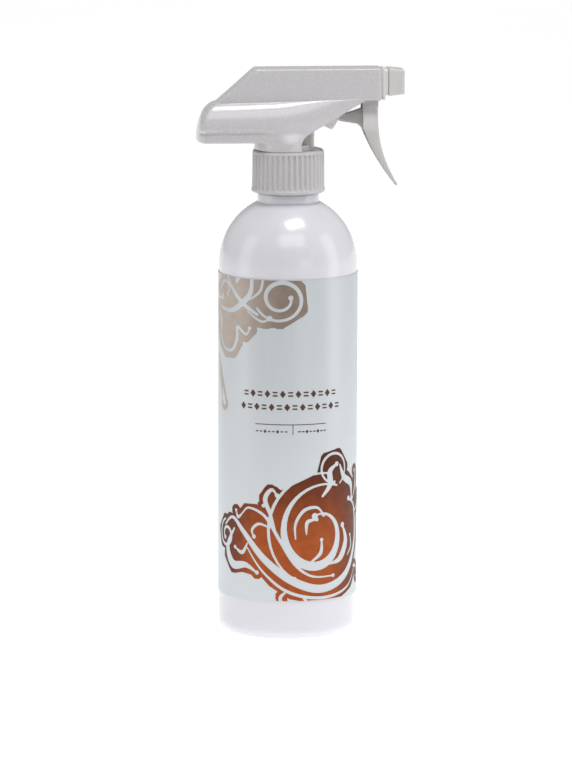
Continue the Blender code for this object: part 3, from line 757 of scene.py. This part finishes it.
def make_upper_print():
    area = (-49.0, 12.0), (100.0, LABEL[1].z - 0.3)
    art = Print(*area)
    # Large open volute and the stem that feeds it.
    art.spiral((-6.0, 156.5), (12.2, 4.6), 205.0, 1.45, (0.6, 1.0), ball=1.2, flatten=0.92)
    art.curves(
        ([(-17, 149), (-24, 153), (-31, 159), (-38, 168)], 1.0, 0.0, (0.7, 0.6)),
        ([(-20, 168), (-20.5, 159), (-26, 153), (-33, 149.5), (-42, 150)], 1.3, 0.0, (0.8, 0.6)),
        ([(-14, 168), (-15.5, 160), (-21, 155.5)], 0.7),
        ([(-22, 150), (-15, 146), (-11, 147.5)], 0.6, 1.3),
        ([(-44, 158), (-38, 162.5), (-34, 160), (-35.5, 156.5)], 0.8, 1.0),
        ([(-26, 166), (-28.5, 163.5)], 0.9, 1.2),
        # Hanging leaf.
        ([(-45, 141), (-39, 132.5), (-32, 131.5), (-28.5, 137), (-28, 142.5), (-23, 139.5),
          (-21, 142.5)], 0.9, 0.9),
        ([(-46, 150), (-42, 144), (-43, 139)], 0.8),
    )
    # Drop at the left-hand edge, on a fine stem.
    drop = Print(*area)
    drop.curve([(-45.5, 128), (-42, 118), (-39, 110)], 0.9, 0.0, (0.5, 2.3))
    drop.dot((-38.3, 106.3), 3.2)
    eye = Print(*area)
    eye.curve([(-40.4, 113), (-38.6, 106.6)], 0.8, 0.0, (0.4, 1.4))
    field = np.maximum(art.ground(3.0), -art.line)
    field = np.minimum(field, np.maximum(drop.line, -eye.line))
    art.sheet("print_taupe", field, TAUPE)


def make_band_print():
    """Plain geometric bands, rule and divider on the front of the label."""
    art = Print((-27.0, 25.0), (93.0, 116.5), 0.2)
    for row, (start, end, z) in enumerate(((-22.6, 19.8, 113.2), (-24.2, 21.8, 107.2))):
        count = 13 + row
        for k in range(count):
            u = start + (end - start) * k / (count - 1)
            if (k + row) % 2:
                art.lozenge((u, z), 1.35, 1.75)
            else:
                art.bar((u, z + 0.75), 1.15, 0.33)
                art.bar((u, z - 0.75), 1.15, 0.33)
    art.bar((-1.2, 99.3), 16.6, 0.17)
    art.bar((-0.3, 96.9), 0.17, 2.3)
    for start, end in ((-17.0, -3.4), (2.6, 14.9)):
        for k in range(8):
            u = start + (end - start) * k / 7
            if k % 3 == 2:
                art.lozenge((u, 96.1), 0.75, 0.95)
            else:
                art.bar((u, 96.1), 0.62, 0.27)
    art.sheet("print_bands", art.line, BROWN)


# ---- Closure

def make_collar():
    low, high = COLLAR[0].z, COLLAR[1].z
    outer = COLLAR[1].x
    face = [(16.47, low + 1.8), (16.44, low + 2.4), (16.38, low + 5.0), (16.3, 211.0), (16.24, high - 2.4),
            (16.22, high - 1.9), (16.2, high - 1.6), (16.19, high - 1.4), (16.18, high - 1.2),
            (16.15, high - 0.9)]
    ledge = WEB_Z[1] + 0.3
    outline = rounded([
        (COLLAR_BORE_R, low, 0.3), (outer - 0.7, low, 0.4), (outer, low + 0.6, 0.5),
        (outer - 0.08, low + 1.3, 0.3), *face, (15.7, high, 0.55), (14.9, high, 0.3),
        (14.6, high - 0.5, 0.2), (14.6, ledge), (11.8, ledge, 0.3), (11.8, WEB_Z[0], 0.3),
        (COLLAR_BORE_R, WEB_Z[0])])
    collar = turned("collar_ribbed", outline, 12 * RIBS)
    for vert in collar.data.vertices:
        radius = hypot(vert.co.x, vert.co.y)
        if radius < 15.6 or vert.co.z < low + 1.5:
            continue
        turn = atan2(vert.co.y, vert.co.x) * RIBS
        groove = (0.5 - 0.5 * cos(turn)) ** 1.4
        depth = RIB_DEPTH * groove * smooth_step(vert.co.z, low + 1.5, low + 2.3)
        scale = (radius - depth * (1 - smooth_step(vert.co.z, high - 1.7, high - 1.1))) / radius
        vert.co.x *= scale
        vert.co.y *= scale
    ridge = screw_ridge("ridge", COLLAR_BORE_R, COLLAR_CREST_R, THREAD_START_Z + PITCH / 2, 1.0, 0.4)
    combine(collar, [ridge], "UNION")
    settle(collar, COLLAR_WHITE, "collar_ring", "collar_white", "collar")


def make_small_turnings():
    """Gasket, retainer, ball, dip tube and outlet valve."""
    low, high = GASKET[0].z, GASKET[1].z
    gasket = turned("gasket_ring", slab(11.1, 13.2, low, high, 0.25))
    settle(gasket, SOFT_SEAL, "closure_lift", "soft_seal", "neck_gasket")
    low, high = RETAINER[0].z, RETAINER[1].z
    stop = TUBE[1].z + 0.3
    shape = rounded([(2.55, low, 0.2), (3.5, low, 0.2), (4.0, low + 1.0, 0.3), (4.0, high, 0.3),
                     (2.35, high, 0.1), (1.2, high - 1.5), (1.2, stop), (2.55, stop)])
    settle(turned("retainer_plug", shape, 72), NATURAL, "sprayer", "natural_plastic", "tube_retainer")
    middle, radius = (BALL[0].z + BALL[1].z) / 2, (BALL[1].z - BALL[0].z) / 2
    half = [(0.0, middle - radius)] + arc((0.0, middle), radius, -86, 86, 30) + [(0.0, middle + radius)]
    settle(turned("valve_ball", half, 48), STEEL, "inlet_valve", "spring_steel", "inlet_ball", sharp=80.0)
    low, high = TUBE[0].z, TUBE[1].z
    wall = rounded([(1.6, low, 0.1), (2.4, low, 0.1), (2.4, low + 1.0), (2.4, high, 0.1), (1.6, high, 0.1),
                    (1.6, low + 1.0)], 2)
    tube = turned("suction_tube", wall, 48)
    for vert in tube.data.vertices:
        if vert.co.z < low + 0.9:
            vert.co.z += 0.9 * (vert.co.x + 2.4)
    settle(tube, TUBE_PLASTIC, "sprayer", "clear_tube", "dip_tube")
    seat = SEAT_X
    plug = rounded([(0.0, seat - 0.4), (0.9, seat - 0.4, 0.15), (1.2, seat + 0.25), (2.3, seat + 0.3, 0.15),
                    (2.3, seat + 1.2, 0.15), (0.8, seat + 1.4), (0.8, seat + 5.7, 0.2), (0.0, seat + 5.7)], 3)
    poppet = turned("valve_poppet", plug, 48, FORWARD)
    settle(poppet, NATURAL, "outlet_poppet", "natural_plastic", "outlet_valve")


def make_spinner():
    low, high = SPINNER[0].x, SPINNER[1].x
    shape = rounded([(0.0, low + 1.9), (1.1, low + 1.9), (1.1, low), (2.6, low, 0.1), (3.0, low + 0.4, 0.1),
                     (3.0, high - 0.8, 0.2), (2.4, high, 0.2), (0.9, high), (0.9, high - 0.5),
                     (0.0, high - 0.5)], 3)
    spinner = turned("swirl_core", shape, 64, FORWARD)
    flats = []
    for y in both_sides(2.1, 4.0):
        flats.append(block("flat", (low - 1.0, y[0], NOZZLE_Z - 4.0), (high - 1.2, y[1], NOZZLE_Z + 4.0)))
    combine(spinner, flats, "DIFFERENCE")
    settle(spinner, NATURAL, "sprayer", "natural_plastic", "spinner", sharp=30.0)


# ---- Pump

def make_pump_body():
    flange_z = PUMP[0].z
    cheek_y = (FORK_Y[1] + 0.3, FORK_Y[1] + 1.4)
    flange = rounded([(0.0, flange_z), (FLANGE_R, flange_z, 0.25), (FLANGE_R, flange_z + 1.2, 0.25),
                      (0.0, flange_z + 1.2)])
    body = turned("pump_moulding", flange, 96)
    deck = arc((0.0, 0.0), DECK_R, -DECK_OPEN, DECK_OPEN, 48)
    barrel = rounded([(0.0, 0.0), (CYLINDER_R, 0.0, 0.3), (CYLINDER_R, 17.3, 0.6), (0.0, 17.3)])
    solids = [
        rod("stem", STEM_R, flange_z + 0.5, 223.0, segments=96),
        prism("deck", deck, (flange_z + 0.6, COLLAR[1].z - 0.15)),
        prism("column", slab(-8.0, STEM_R, -7.0, 7.0, 0.8), (222.0, 238.0)),
        prism("mast", slab(-5.0, 7.0, -5.0, 5.0, 0.8), (237.0, 253.0)),
        turned("cylinder", barrel, 80, STROKE),
        rod("discharge", DISCHARGE_R, -3.0, SEAT_X, FORWARD),
        rod("housing", 3.9, SEAT_X - 0.9, PLATE_X[0] + 0.6, FORWARD),
        block("roof", (CHEEK_X, -cheek_y[1], 253.1), (PLATE_X[0] + 0.5, cheek_y[1], 254.3)),
        block("shoulder", (SHROUD[1].x + 0.1, -6.9, 244.4), (PLATE_X[0] + 0.5, 6.9, PUMP[1].z - 0.5)),
        prism("pad", rounded_square(5.95, 1.0), (PLATE_X[1] - 0.5, NOZZLE[0].x - 0.25), FORWARD),
        make_plate(),
    ]
    for y in both_sides(*cheek_y):
        solids.append(block("cheek", (CHEEK_X, y[0], 245.5), (PLATE_X[0] + 0.5, y[1], 253.6)))
    boss = rounded([(0.0, PLATE_X[0] + 0.8), (BOSS_R, PLATE_X[0] + 0.8), (BOSS_R, 47.2, 0.1),
                    (BOSS_R + 0.25, 47.6, 0.1), (BOSS_R + 0.25, 48.0, 0.1), (BOSS_R, 48.4, 0.1),
                    (BOSS_R, BOSS_END_X, 0.2), (0.0, BOSS_END_X)], 3)
    solids.append(turned("boss", boss, 72, FORWARD))
    combine(body, solids, "UNION")
    floor = MOUTH + CYLINDER_DEPTH * STROKE_AXIS
    port = Matrix.Translation((0.0, 0.0, floor.z - NOZZLE_Z)) @ FORWARD
    cuts = [
        rod("socket", 4.25, flange_z - 1.0, RETAINER[1].z + 0.2),
        rod("chamber", 2.5, RETAINER[1].z, 230.2),
        rod("riser", CHANNEL_R, 229.7, NOZZLE_Z, segments=32),
        rod("bore", CYLINDER_BORE_R, -1.0, CYLINDER_DEPTH, STROKE, 80),
        rod("port", 1.0, 0.0, floor.x + 0.6, port, 24),
        rod("outlet", CHANNEL_R, 0.0, SEAT_X + 0.5, FORWARD, 32),
        rod("valve_chamber", 2.9, SEAT_X, SPINNER[0].x, FORWARD),
        rod("spinner_bore", 3.2, SPINNER[0].x - 0.4, BOSS_END_X + 1.0, FORWARD),
        block("slot", (MOUTH.x - 0.6, -2.3, MOUTH.z + 1.5), (MOUTH.x + 6.0, 2.3, MOUTH.z + 9.0)),
    ]
    for y, hole in zip(both_sides(6.6, 15.0), both_sides(FORK_Y[0], 8.0)):
        cuts.append(block("pocket", (8.9, y[0], COLLAR[1].z), (9.4, y[1], 232.5)))
        cuts.append(rod("pivot_hole", TRUNNION_HOLE_R, hole[0], hole[1], ACROSS, 48))
    combine(body, cuts, "DIFFERENCE")
    settle(body, BODY_WHITE, "sprayer", "sprayer_body", "pump_body", sharp=30.0)


def make_plate():
    """Square face plate behind the nozzle, with soft edges."""
    top = PUMP[1].z
    outline = slab(-PLATE_HALF, PLATE_HALF, PLATE_LOW_Z, top, 0.8)
    middle = (PLATE_LOW_Z + top) / 2
    sections = []
    for x, inset in ((PLATE_X[0], 0.15), (PLATE_X[0] + 0.06, 0.05), (PLATE_X[0] + 0.15, 0.0),
                     (PLATE_X[1] - 0.15, 0.0), (PLATE_X[1] - 0.06, 0.05), (PLATE_X[1], 0.15)):
        scale = 1 - inset / PLATE_HALF
        sections.append([(x, y * scale, middle + (z - middle) * scale) for y, z in outline])
    return skinned("plate", sections)


def make_piston():
    head, back = 0.65, 5.25
    shape = rounded([(0.0, head), (4.9, head, 0.15), (5.15, 0.9, 0.1), (5.15, 1.85, 0.15), (3.6, 2.25),
                     (3.6, 3.45, 0.1), (2.2, 3.45), (2.2, back, 0.2), (0.0, back)], 3)
    plunger = turned("piston_plunger", shape, 72, STROKE)
    settle(plunger, NATURAL, "pump_piston", "natural_plastic", "piston")
    front = 3.75
    ring = rounded([(2.5, front, 0.1), (5.0, front, 0.15), (5.3, front + 0.5, 0.1), (5.3, front + 1.4, 0.1),
                    (5.0, front + 1.4, 0.1), (4.6, front + 0.7), (2.5, front + 0.7, 0.1)], 3)
    seal = turned("piston_lip_seal", ring, 72, STROKE)
    settle(seal, SOFT_SEAL, "pump_piston", "soft_seal", "piston_seal")


def make_spring(name, turn, start, end, radius, wire_r, turns, node):
    """Closed-end coil spring between two places along its axis."""
    sides, per_turn = 12, 36
    count = int(turns * per_turn)
    sections = []
    for i in range(count + 1):
        share = i / count
        closed = share + 0.35 / turns * sin(2 * pi * share) / (2 * pi)
        angle = 2 * pi * turns * share
        middle = Vector((radius * cos(angle), radius * sin(angle),
                         start + wire_r + (end - start - 2 * wire_r) * closed))
        outward = Vector((cos(angle), sin(angle), 0.0))
        sections.append([middle + wire_r * (outward * cos(a) + Vector((0, 0, 1)) * sin(a))
                         for a in (2 * pi * k / sides for k in range(sides))])
    spring = skinned(name, sections, turn)
    settle(spring, STEEL, "sprayer", "spring_steel", node, sharp=60.0)
    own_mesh(spring)


# ---- Trigger and nozzle

def trigger_front(z):
    bend = 0.0111 if z < 233.0 else 0.005
    return 40.2 + bend * (233.0 - z) ** 2


def trigger_rear(z):
    drop = max(0.0, 230.5 - z)
    thin = 0.9 + 1.2 * smooth_step(z, TRIGGER[0].z, TRIGGER[0].z + 7.0)
    return min(33.2 + 0.38 * drop + 0.0072 * drop ** 2, trigger_front(z) - thin)


def trigger_half_width(z):
    wide = FORK_Y[1] + (9.2 - FORK_Y[1]) * (1 - smooth_step(z, 227.0, 240.5))
    return wide - 1.6 * (1 - smooth_step(z, TRIGGER[0].z, 214.0))


def make_trigger():
    """Finger lever: a channel open to the rear, its push arm, and the fork with its trunnions."""
    levels, wall = 72, 1.2
    top, tip = 242.9, TRIGGER[0].z
    sections = []
    for i in range(levels + 1):
        share = i / levels
        z = top + (tip - top) * (share + 0.02 * sin(pi * share))
        if i == levels:
            z = tip
        front, rear, half = trigger_front(z), trigger_rear(z), trigger_half_width(z)
        shrink = 0.3 * max(0.0, 1 - (z - tip) / 0.5)
        half -= shrink
        ring = rounded([(rear, -half, 0.3), (front - shrink, -half, 1.7), (front - shrink, half, 1.7),
                        (rear, half, 0.3), (rear, half - wall, 0.3), (front - wall, half - wall, 0.7),
                        (front - wall, wall - half, 0.7), (rear, wall - half, 0.3)], 5)
        sections.append([(x, y, z) for x, y in ring])
    trigger = skinned("trigger_lever_shell", sections)
    tip_ball = arc((23.5, 234.5), 1.4, 80, 260, 24)
    arm = extruded("arm", [(39.6, 240.5), (34.0, 239.3), (29.1, 237.5)] + tip_ball
                   + [(31.1, 231.8), (33.6, 229.6), (39.6, 227.5)], ARM_HALF)
    tools = [soften(arm, 0.25, 50.0)]
    hub = arc((PIVOT.x, PIVOT.z), 2.9, 20, 190, 32) + [(33.3, 240.0), (40.4, 240.0)]
    for side in (-1, 1):
        half = (FORK_Y[1] - FORK_Y[0]) / 2
        tools.append(extruded("fork", hub, half, side * (FORK_Y[0] + half)))
        ends = sorted((side * (FORK_Y[0] + 0.5), side * (FORK_Y[1] + 1.3)))
        tools.append(rod("trunnion", TRUNNION_R, ends[0], ends[1], ACROSS, 48))
    combine(trigger, tools, "UNION")
    settle(trigger, TRIGGER_WHITE, "trigger_lever", "trigger_white", "trigger", sharp=34.0)


def make_nozzle():
    low, high = NOZZLE[0].x, NOZZLE[1].x
    back, front = 6.2, 5.5
    steps = [(low, back - 0.15), (low + 0.05, back - 0.05), (low + 0.15, back), (low + 3.5, 5.87),
             (high - 0.45, front + 0.03), (high - 0.2, front - 0.05), (high - 0.06, front - 0.2),
             (high, front - 0.4)]
    sections = [[(x, y, height) for x, y in rounded_square(half, 0.8)] for height, half in steps]
    nozzle = skinned("nozzle_cap_shell", sections, FORWARD)
    skirt_r = BOSS_R + 0.4
    stop = SPINNER[1].x
    cavity = [(0.0, low - 1.0), (skirt_r, low - 1.0), (skirt_r, 47.1), (skirt_r + 0.25, 47.5),
              (skirt_r + 0.25, 48.1), (skirt_r, 48.5), (skirt_r, stop - 0.6), (3.2, stop + 0.3),
              (0.45, stop + 0.3), (0.45, high - 0.9), (1.6, high + 0.3), (0.0, high + 0.3)]
    tools = [turned("cavity", cavity, 72, FORWARD)]
    for quarter in range(4):
        tools.append(make_panel_cut(quarter, low, high))
    combine(nozzle, tools, "DIFFERENCE")
    settle(nozzle, NOZZLE_WHITE, "nozzle_cap", "nozzle_white", "nozzle", sharp=30.0)


def make_panel_cut(quarter, low, high):
    """Shallow grip panel in one side of the nozzle."""
    panel = slab(low + 1.1, high - 1.9, -4.1, 4.1, 0.8)
    sections = [[(x, y, 6.2 - 0.1 * (x - low) - PANEL_DEPTH + level) for x, y in panel]
                for level in (0.0, 2.0)]
    turn = Matrix.Translation((0, 0, NOZZLE_Z)) @ Matrix.Rotation(radians(90.0 * quarter), 4, "X")
    return skinned("panel", sections, turn)


# ---- Shroud

FRONT_EDGE = ((4.35, 220.65), (4.4, 222.3), (4.9, 224.7), (5.8, 226.4), (7.2, 227.7), (9.7, 229.1),
              (14.1, 231.5), (24.5, 237.3), (33.6, 242.6), (34.6, 243.0), (60.0, 243.0))


def shroud_low(x):
    """Height of the shroud's lower edge at a station."""
    if x > FRONT_EDGE[0][0]:
        return float(np.interp(x, *zip(*FRONT_EDGE)))
    return SHROUD_BOTTOM_Z - (SHROUD_BOTTOM_Z - FRONT_EDGE[0][1]) * smooth_step(x, -12.0, -8.5)


def shroud_half(level):
    """Half width on the rear part: flat box side, crease, bulge, groove and lip."""
    top = SHROUD[1].z
    if level > top - TOP_EDGE_R:
        drop = (level - top + TOP_EDGE_R) / TOP_EDGE_R
        return BOX_TOP_HALF - TOP_EDGE_R * (1 - sqrt(max(0.0, 1 - drop ** 2)))
    if level >= CREASE_Z:
        return float(np.interp(level, (CREASE_Z, 247.5, top - TOP_EDGE_R), (BOX_HALF, 7.55, BOX_TOP_HALF)))
    t = min(1.0, (CREASE_Z - level) / BULGE_DROP)
    swell = 0.5 * sqrt(1 - (1 - t) ** 2) + 0.5 * (1 - (1 - t) ** 2.2)
    bulge = BOX_HALF + (BULGE_HALF - BOX_HALF) * swell
    lip = (BULGE_HALF - LIP_HALF) * (1 - smooth_step(level, 228.9, 230.5))
    lip += 0.5 * smooth_step(level, 227.9, 228.9) * (1 - smooth_step(level, 229.0, 230.4))
    edge = max(0.0, (SHROUD_BOTTOM_Z + 0.7 - level) / 0.7)
    return bulge - lip - 0.7 * (1 - sqrt(max(0.0, 1 - min(1.0, edge) ** 2)))


def shroud_rear(level):
    """Rear end: straight slope above the crease, round below it."""
    top = SHROUD[1].z
    if level >= CREASE_Z:
        slope = (level - CREASE_Z) / (SLOPE_TOP_Z - CREASE_Z)
        return REAR_X + SLOPE_RUN * slope + 0.4 * max(0.0, level - top + 0.4)
    t = min(1.0, (CREASE_Z - level) / REAR_BOW_DROP)
    edge = min(1.0, max(0.0, (SHROUD_BOTTOM_Z + 0.9 - level) / 0.9))
    return REAR_X - REAR_BOW * (1 - (1 - t) ** 2) ** 0.62 + 0.8 * (1 - sqrt(1 - edge ** 2))


def shroud_rise(level):
    """Share of the crease's rise towards the front that a level takes."""
    levels = (224.0, 228.7, 229.4, 233.0, 236.7, 239.2, CREASE_Z, 247.5, 260.0)
    return float(np.interp(level, levels, (0.0, 0.0, 0.1, 0.4, 0.6, 0.8, 1.0, 0.0, 0.0)))


def shroud_width(x, level):
    """Half width at a station: the bulge dies away to the front and runs down into the foot."""
    half = shroud_half(level)
    if level < 232.0:
        grooved = 1 - smooth_step(x, -14.0, -6.0)
        half = BULGE_HALF + (half - BULGE_HALF) * grooved
    fade = 1 - 0.9 * smooth_step(x, -8.0, 36.0)
    width = min(half, BOX_HALF) + max(0.0, half - BOX_HALF) * fade
    if abs(x) < FLARE_R and level < 231.0:
        circle = sqrt(FLARE_R ** 2 - x ** 2)
        width += max(0.0, circle - width) * smooth_step(231.0 - level, 0.0, 8.0)
        if circle < width:
            width += (circle - width) * smooth_step(SHROUD_BOTTOM_Z - level, 0.0, 3.0)
    return width


def shroud_point(x, y, level):
    lift = CREASE_RISE * shroud_rise(level) * (x - REAR_CORNER_X) / (SHROUD[1].x - REAR_CORNER_X)
    return (x, y, level + lift)


def shroud_column(index, stations, level):
    """Point of one upright column of the right-hand side at a level."""
    front_x, bow_steps = stations
    rear = shroud_rear(level)
    corner = max(REAR_CORNER_X, rear + 0.9)
    if index < len(front_x):
        x = front_x[index]
        return x, shroud_width(x, level)
    index -= len(front_x)
    last = front_x[-1]
    if index < 24:
        x = last + (corner - last) * (index + 1) / 24
        return x, shroud_width(x, level)
    angle = pi / 2 * (index - 23) / bow_steps
    return corner + (rear - corner) * sin(angle), shroud_half(level) * cos(angle) ** 0.8


def make_shroud():
    """Cover over the pump: one bent wall with an open front, and the foot that stands on the sprayer."""
    top = SHROUD[1].z
    front_x = ([SHROUD[1].x - 1.4 * k for k in range(22)] + list(np.linspace(10.9, 6.0, 12))
               + list(np.linspace(5.6, 4.9, 5)) + [4.6, 4.4, 4.35] + list(np.linspace(3.6, -10.0, 22)))
    bow_steps = 14
    stations = (front_x, bow_steps)
    columns = len(front_x) + 24 + bow_steps
    levels = [top - TOP_EDGE_R + TOP_EDGE_R * cos(radians(a)) for a in range(0, 91, 15)]
    levels += list(np.linspace(top - 1.5, CREASE_Z, 22))
    levels += [CREASE_Z - BULGE_DROP * (1 - cos(radians(a))) for a in range(6, 91, 4)]
    levels += list(np.linspace(229.6, 228.1, 16)) + list(np.linspace(227.5, 225.4, 5))
    levels += [SHROUD_BOTTOM_Z + 0.7 * (1 - sin(radians(a))) for a in range(15, 91, 15)]
    levels += list(np.linspace(224.2, FRONT_EDGE[0][1], 10))
    levels += list(np.linspace(227.6, 231.2, 19))
    levels = sorted(set(round(level, 4) for level in levels), reverse=True)
    build = bmesh.new()
    grid = []
    for side in (-1, 1):
        for index in range(columns) if side < 0 else reversed(range(columns - 1)):
            column = []
            stop = None
            for level in levels:
                x, y = shroud_column(index, stations, level)
                point = shroud_point(x, side * y, level)
                if stop is None and point[2] < shroud_low(x) - 1e-4:
                    stop = lower_edge_point(index, stations, side, column[-1][2], level)
                column.append(stop or point)
            grid.append([build.verts.new(p) for p in column])
    for left, right in zip(grid, grid[1:]):
        for k in range(len(levels) - 1):
            build.faces.new((left[k], right[k], right[k + 1], left[k + 1]))
    build.faces.new([column[0] for column in grid])
    bmesh.ops.remove_doubles(build, verts=build.verts, dist=2e-3)
    bmesh.ops.dissolve_degenerate(build, edges=build.edges, dist=1e-3)
    shell = new_sheet("shroud_cover", build)
    modifier = shell.modifiers.new("wall", "SOLIDIFY")
    modifier.thickness = SHROUD_WALL
    modifier.offset = -1.0
    modifier.use_even_offset = True
    apply_modifiers(shell)
    soften(shell, 0.18, 62.0)
    settle(shell, SHROUD_WHITE, "sprayer", "shroud_white", "shroud", sharp=38.0)
    make_foot()


def lower_edge_point(index, stations, side, above, below):
    """Where a column meets the lower edge, by halving."""
    for _ in range(30):
        level = (above + below) / 2
        x, y = shroud_column(index, stations, level)
        if shroud_point(x, y, level)[2] > shroud_low(x):
            above = level
        else:
            below = level
    x, y = shroud_column(index, stations, above)
    return shroud_point(x, side * y, above)


def new_sheet(name, build):
    """Object from an open sheet whose faces are turned outwards."""
    bmesh.ops.recalc_face_normals(build, faces=build.faces)
    roof = max(build.faces, key=lambda face: face.calc_center_median().z)
    if roof.normal.z < 0:
        bmesh.ops.reverse_faces(build, faces=build.faces)
    return link_mesh(name, build)


def make_foot():
    """Ring under the shroud that reaches down into the collar."""
    low = FOOT_LOW_Z
    outer = FOOT_R - 0.06
    half_open = acos((FRONT_EDGE[0][0] + 0.05) / outer)
    rim = FRONT_EDGE[0][1]
    wall = rounded([(FOOT_R - SHROUD_WALL, low, 0.2), (outer, low, 0.2), (outer, rim, 0.05),
                    (FLARE_R - 0.06, rim, 0.2), (FLARE_R - 0.06, 224.3, 0.2), (outer, 225.0),
                    (FOOT_R - SHROUD_WALL, 226.2, 0.3)])
    foot = turned("shroud_foot", wall, 120, UPRIGHT, 2 * (pi - half_open), half_open)
    settle(foot, SHROUD_WHITE, "sprayer", "shroud_white")


# ---- Stage

FLOOR_GLOW = 0.60
SKY_TOP, SKY_FRONT, SKY_BACK = 0.50, 0.05, 0.45
# Name, place, size and power of each light.
LIGHTS = (
    ("left_softbox", (-0.95, -0.15, 0.35), (0.4, 1.0), 1.4),
    ("right_softbox", (1.0, -0.25, 0.40), (0.4, 1.0), 2.0),
    ("top_softbox", (0.12, -0.25, 1.05), (0.40, 0.25), 4.4),
    ("low_card", (0.5, -1.2, 0.22), (0.5, 0.4), 0.5),
    ("front_softbox", (0.05, -0.9, 1.05), (0.9, 0.45), 2.7),
)
LIGHT_AIM = Vector((0.0, 0.0, 0.13))


def make_floor():
    """Pale floor that glows a little round the object, and is greyer far in front of it."""
    build = bmesh.new()
    bmesh.ops.create_grid(build, x_segments=1, y_segments=1, size=15.0)
    floor = link_mesh("floor", build)
    floor.location.z = -0.0002
    material, tree, shader = new_material("pale_floor")
    near = along_axis(tree, "Y", -900.0, -330.0)
    white = blend_colour(tree, noise(tree, 3.0), (0.87, 0.87, 0.87), (0.90, 0.90, 0.90))
    tree.links.new(mix_colour(tree, near, (0.52, 0.52, 0.52), white), shader.inputs["Base Color"])
    glow = mix_colour(tree, near, (0.1, 0.1, 0.1), (1.0, 1.0, 1.0))
    tree.links.new(glow, shader.inputs["Emission Color"])
    shader.inputs["Roughness"].default_value = 0.9
    shader.inputs["Specular IOR Level"].default_value = 0.1
    shader.inputs["Emission Strength"].default_value = FLOOR_GLOW
    floor.data.materials.append(material)


def make_light(name, place, size, power):
    light = bpy.data.lights.new(name, "AREA")
    light.shape = "RECTANGLE"
    light.size, light.size_y = size
    light.energy = power
    item = link(bpy.data.objects.new(name, light))
    item.location = place
    item.rotation_euler = (LIGHT_AIM - Vector(place)).to_track_quat("-Z", "Y").to_euler()


def make_camera():
    """Camera at the photograph's viewing angle: nearly level, a little to the left of the front."""
    azimuth, elevation, roll = radians(-5.0), radians(9.241), radians(0.153)
    distance = 2.80197
    centre_z = (cad_box[0].z + cad_box[1].z) / 2
    aim = Vector((-0.000757, 0.0, centre_z - 0.016281))
    back = Vector((sin(azimuth) * cos(elevation), -cos(azimuth) * cos(elevation), sin(elevation)))
    right = (-back).cross(Vector((0, 0, 1))).normalized()
    up = right.cross(-back)
    turn = Matrix((right * cos(roll) + up * sin(roll),
                   up * cos(roll) - right * sin(roll), back)).transposed()
    data = bpy.data.cameras.new("camera")
    data.sensor_fit = "HORIZONTAL"
    data.sensor_width = 36.0
    data.lens = 387.8
    data.clip_start, data.clip_end = 0.1, 60.0
    camera = link(bpy.data.objects.new("camera", data))
    camera.matrix_world = Matrix.Translation(aim + back * distance) @ turn.to_4x4()
    bpy.context.scene.camera = camera


def make_sky():
    """Studio walls as a soft gradient: bright ceiling and back wall, dim front."""
    world = bpy.data.worlds.new("studio")
    world.use_nodes = True
    tree = world.node_tree
    place = add_node(tree, "TexCoord")
    split = add_node(tree, "SeparateXYZ", {"Vector": place.outputs["Generated"]})
    wall = add_node(tree, "MapRange", {"Value": split.outputs["Y"], "From Min": -0.7, "From Max": 0.6,
                                       "To Min": SKY_FRONT, "To Max": SKY_BACK},
                    interpolation_type="SMOOTHSTEP")
    high = add_node(tree, "MapRange", {"Value": split.outputs["Z"], "From Min": 0.2, "From Max": 0.8},
                    interpolation_type="SMOOTHSTEP")
    level = add_node(tree, "Mix", {"Factor": high.outputs["Result"], "A": wall.outputs["Result"],
                                   "B": SKY_TOP})
    tree.links.new(level.outputs[0], tree.nodes["Background"].inputs["Strength"])
    tree.nodes["Background"].inputs["Color"].default_value = (1.0, 1.0, 1.0, 1.0)
    bpy.context.scene.world = world


def make_stage():
    make_floor()
    for light in LIGHTS:
        make_light(*light)
    make_sky()
    bpy.context.scene.view_settings.view_transform = "Standard"
    bpy.context.scene.view_settings.look = "None"


make_bottle()
make_label()
make_lower_print()
make_upper_print()
make_band_print()
make_collar()
make_small_turnings()
make_spinner()
make_pump_body()
make_piston()
make_spring("return_coil", STROKE, 5.8, CYLINDER_DEPTH - 0.25, 3.7, 0.35, 5.0, "return_spring")
make_spring("outlet_coil", FORWARD, SEAT_X + 1.6, SPINNER[0].x - 0.2, 1.6, 0.22, 3.5, "outlet_spring")
make_trigger()
make_nozzle()
make_shroud()
make_stage()
make_camera()
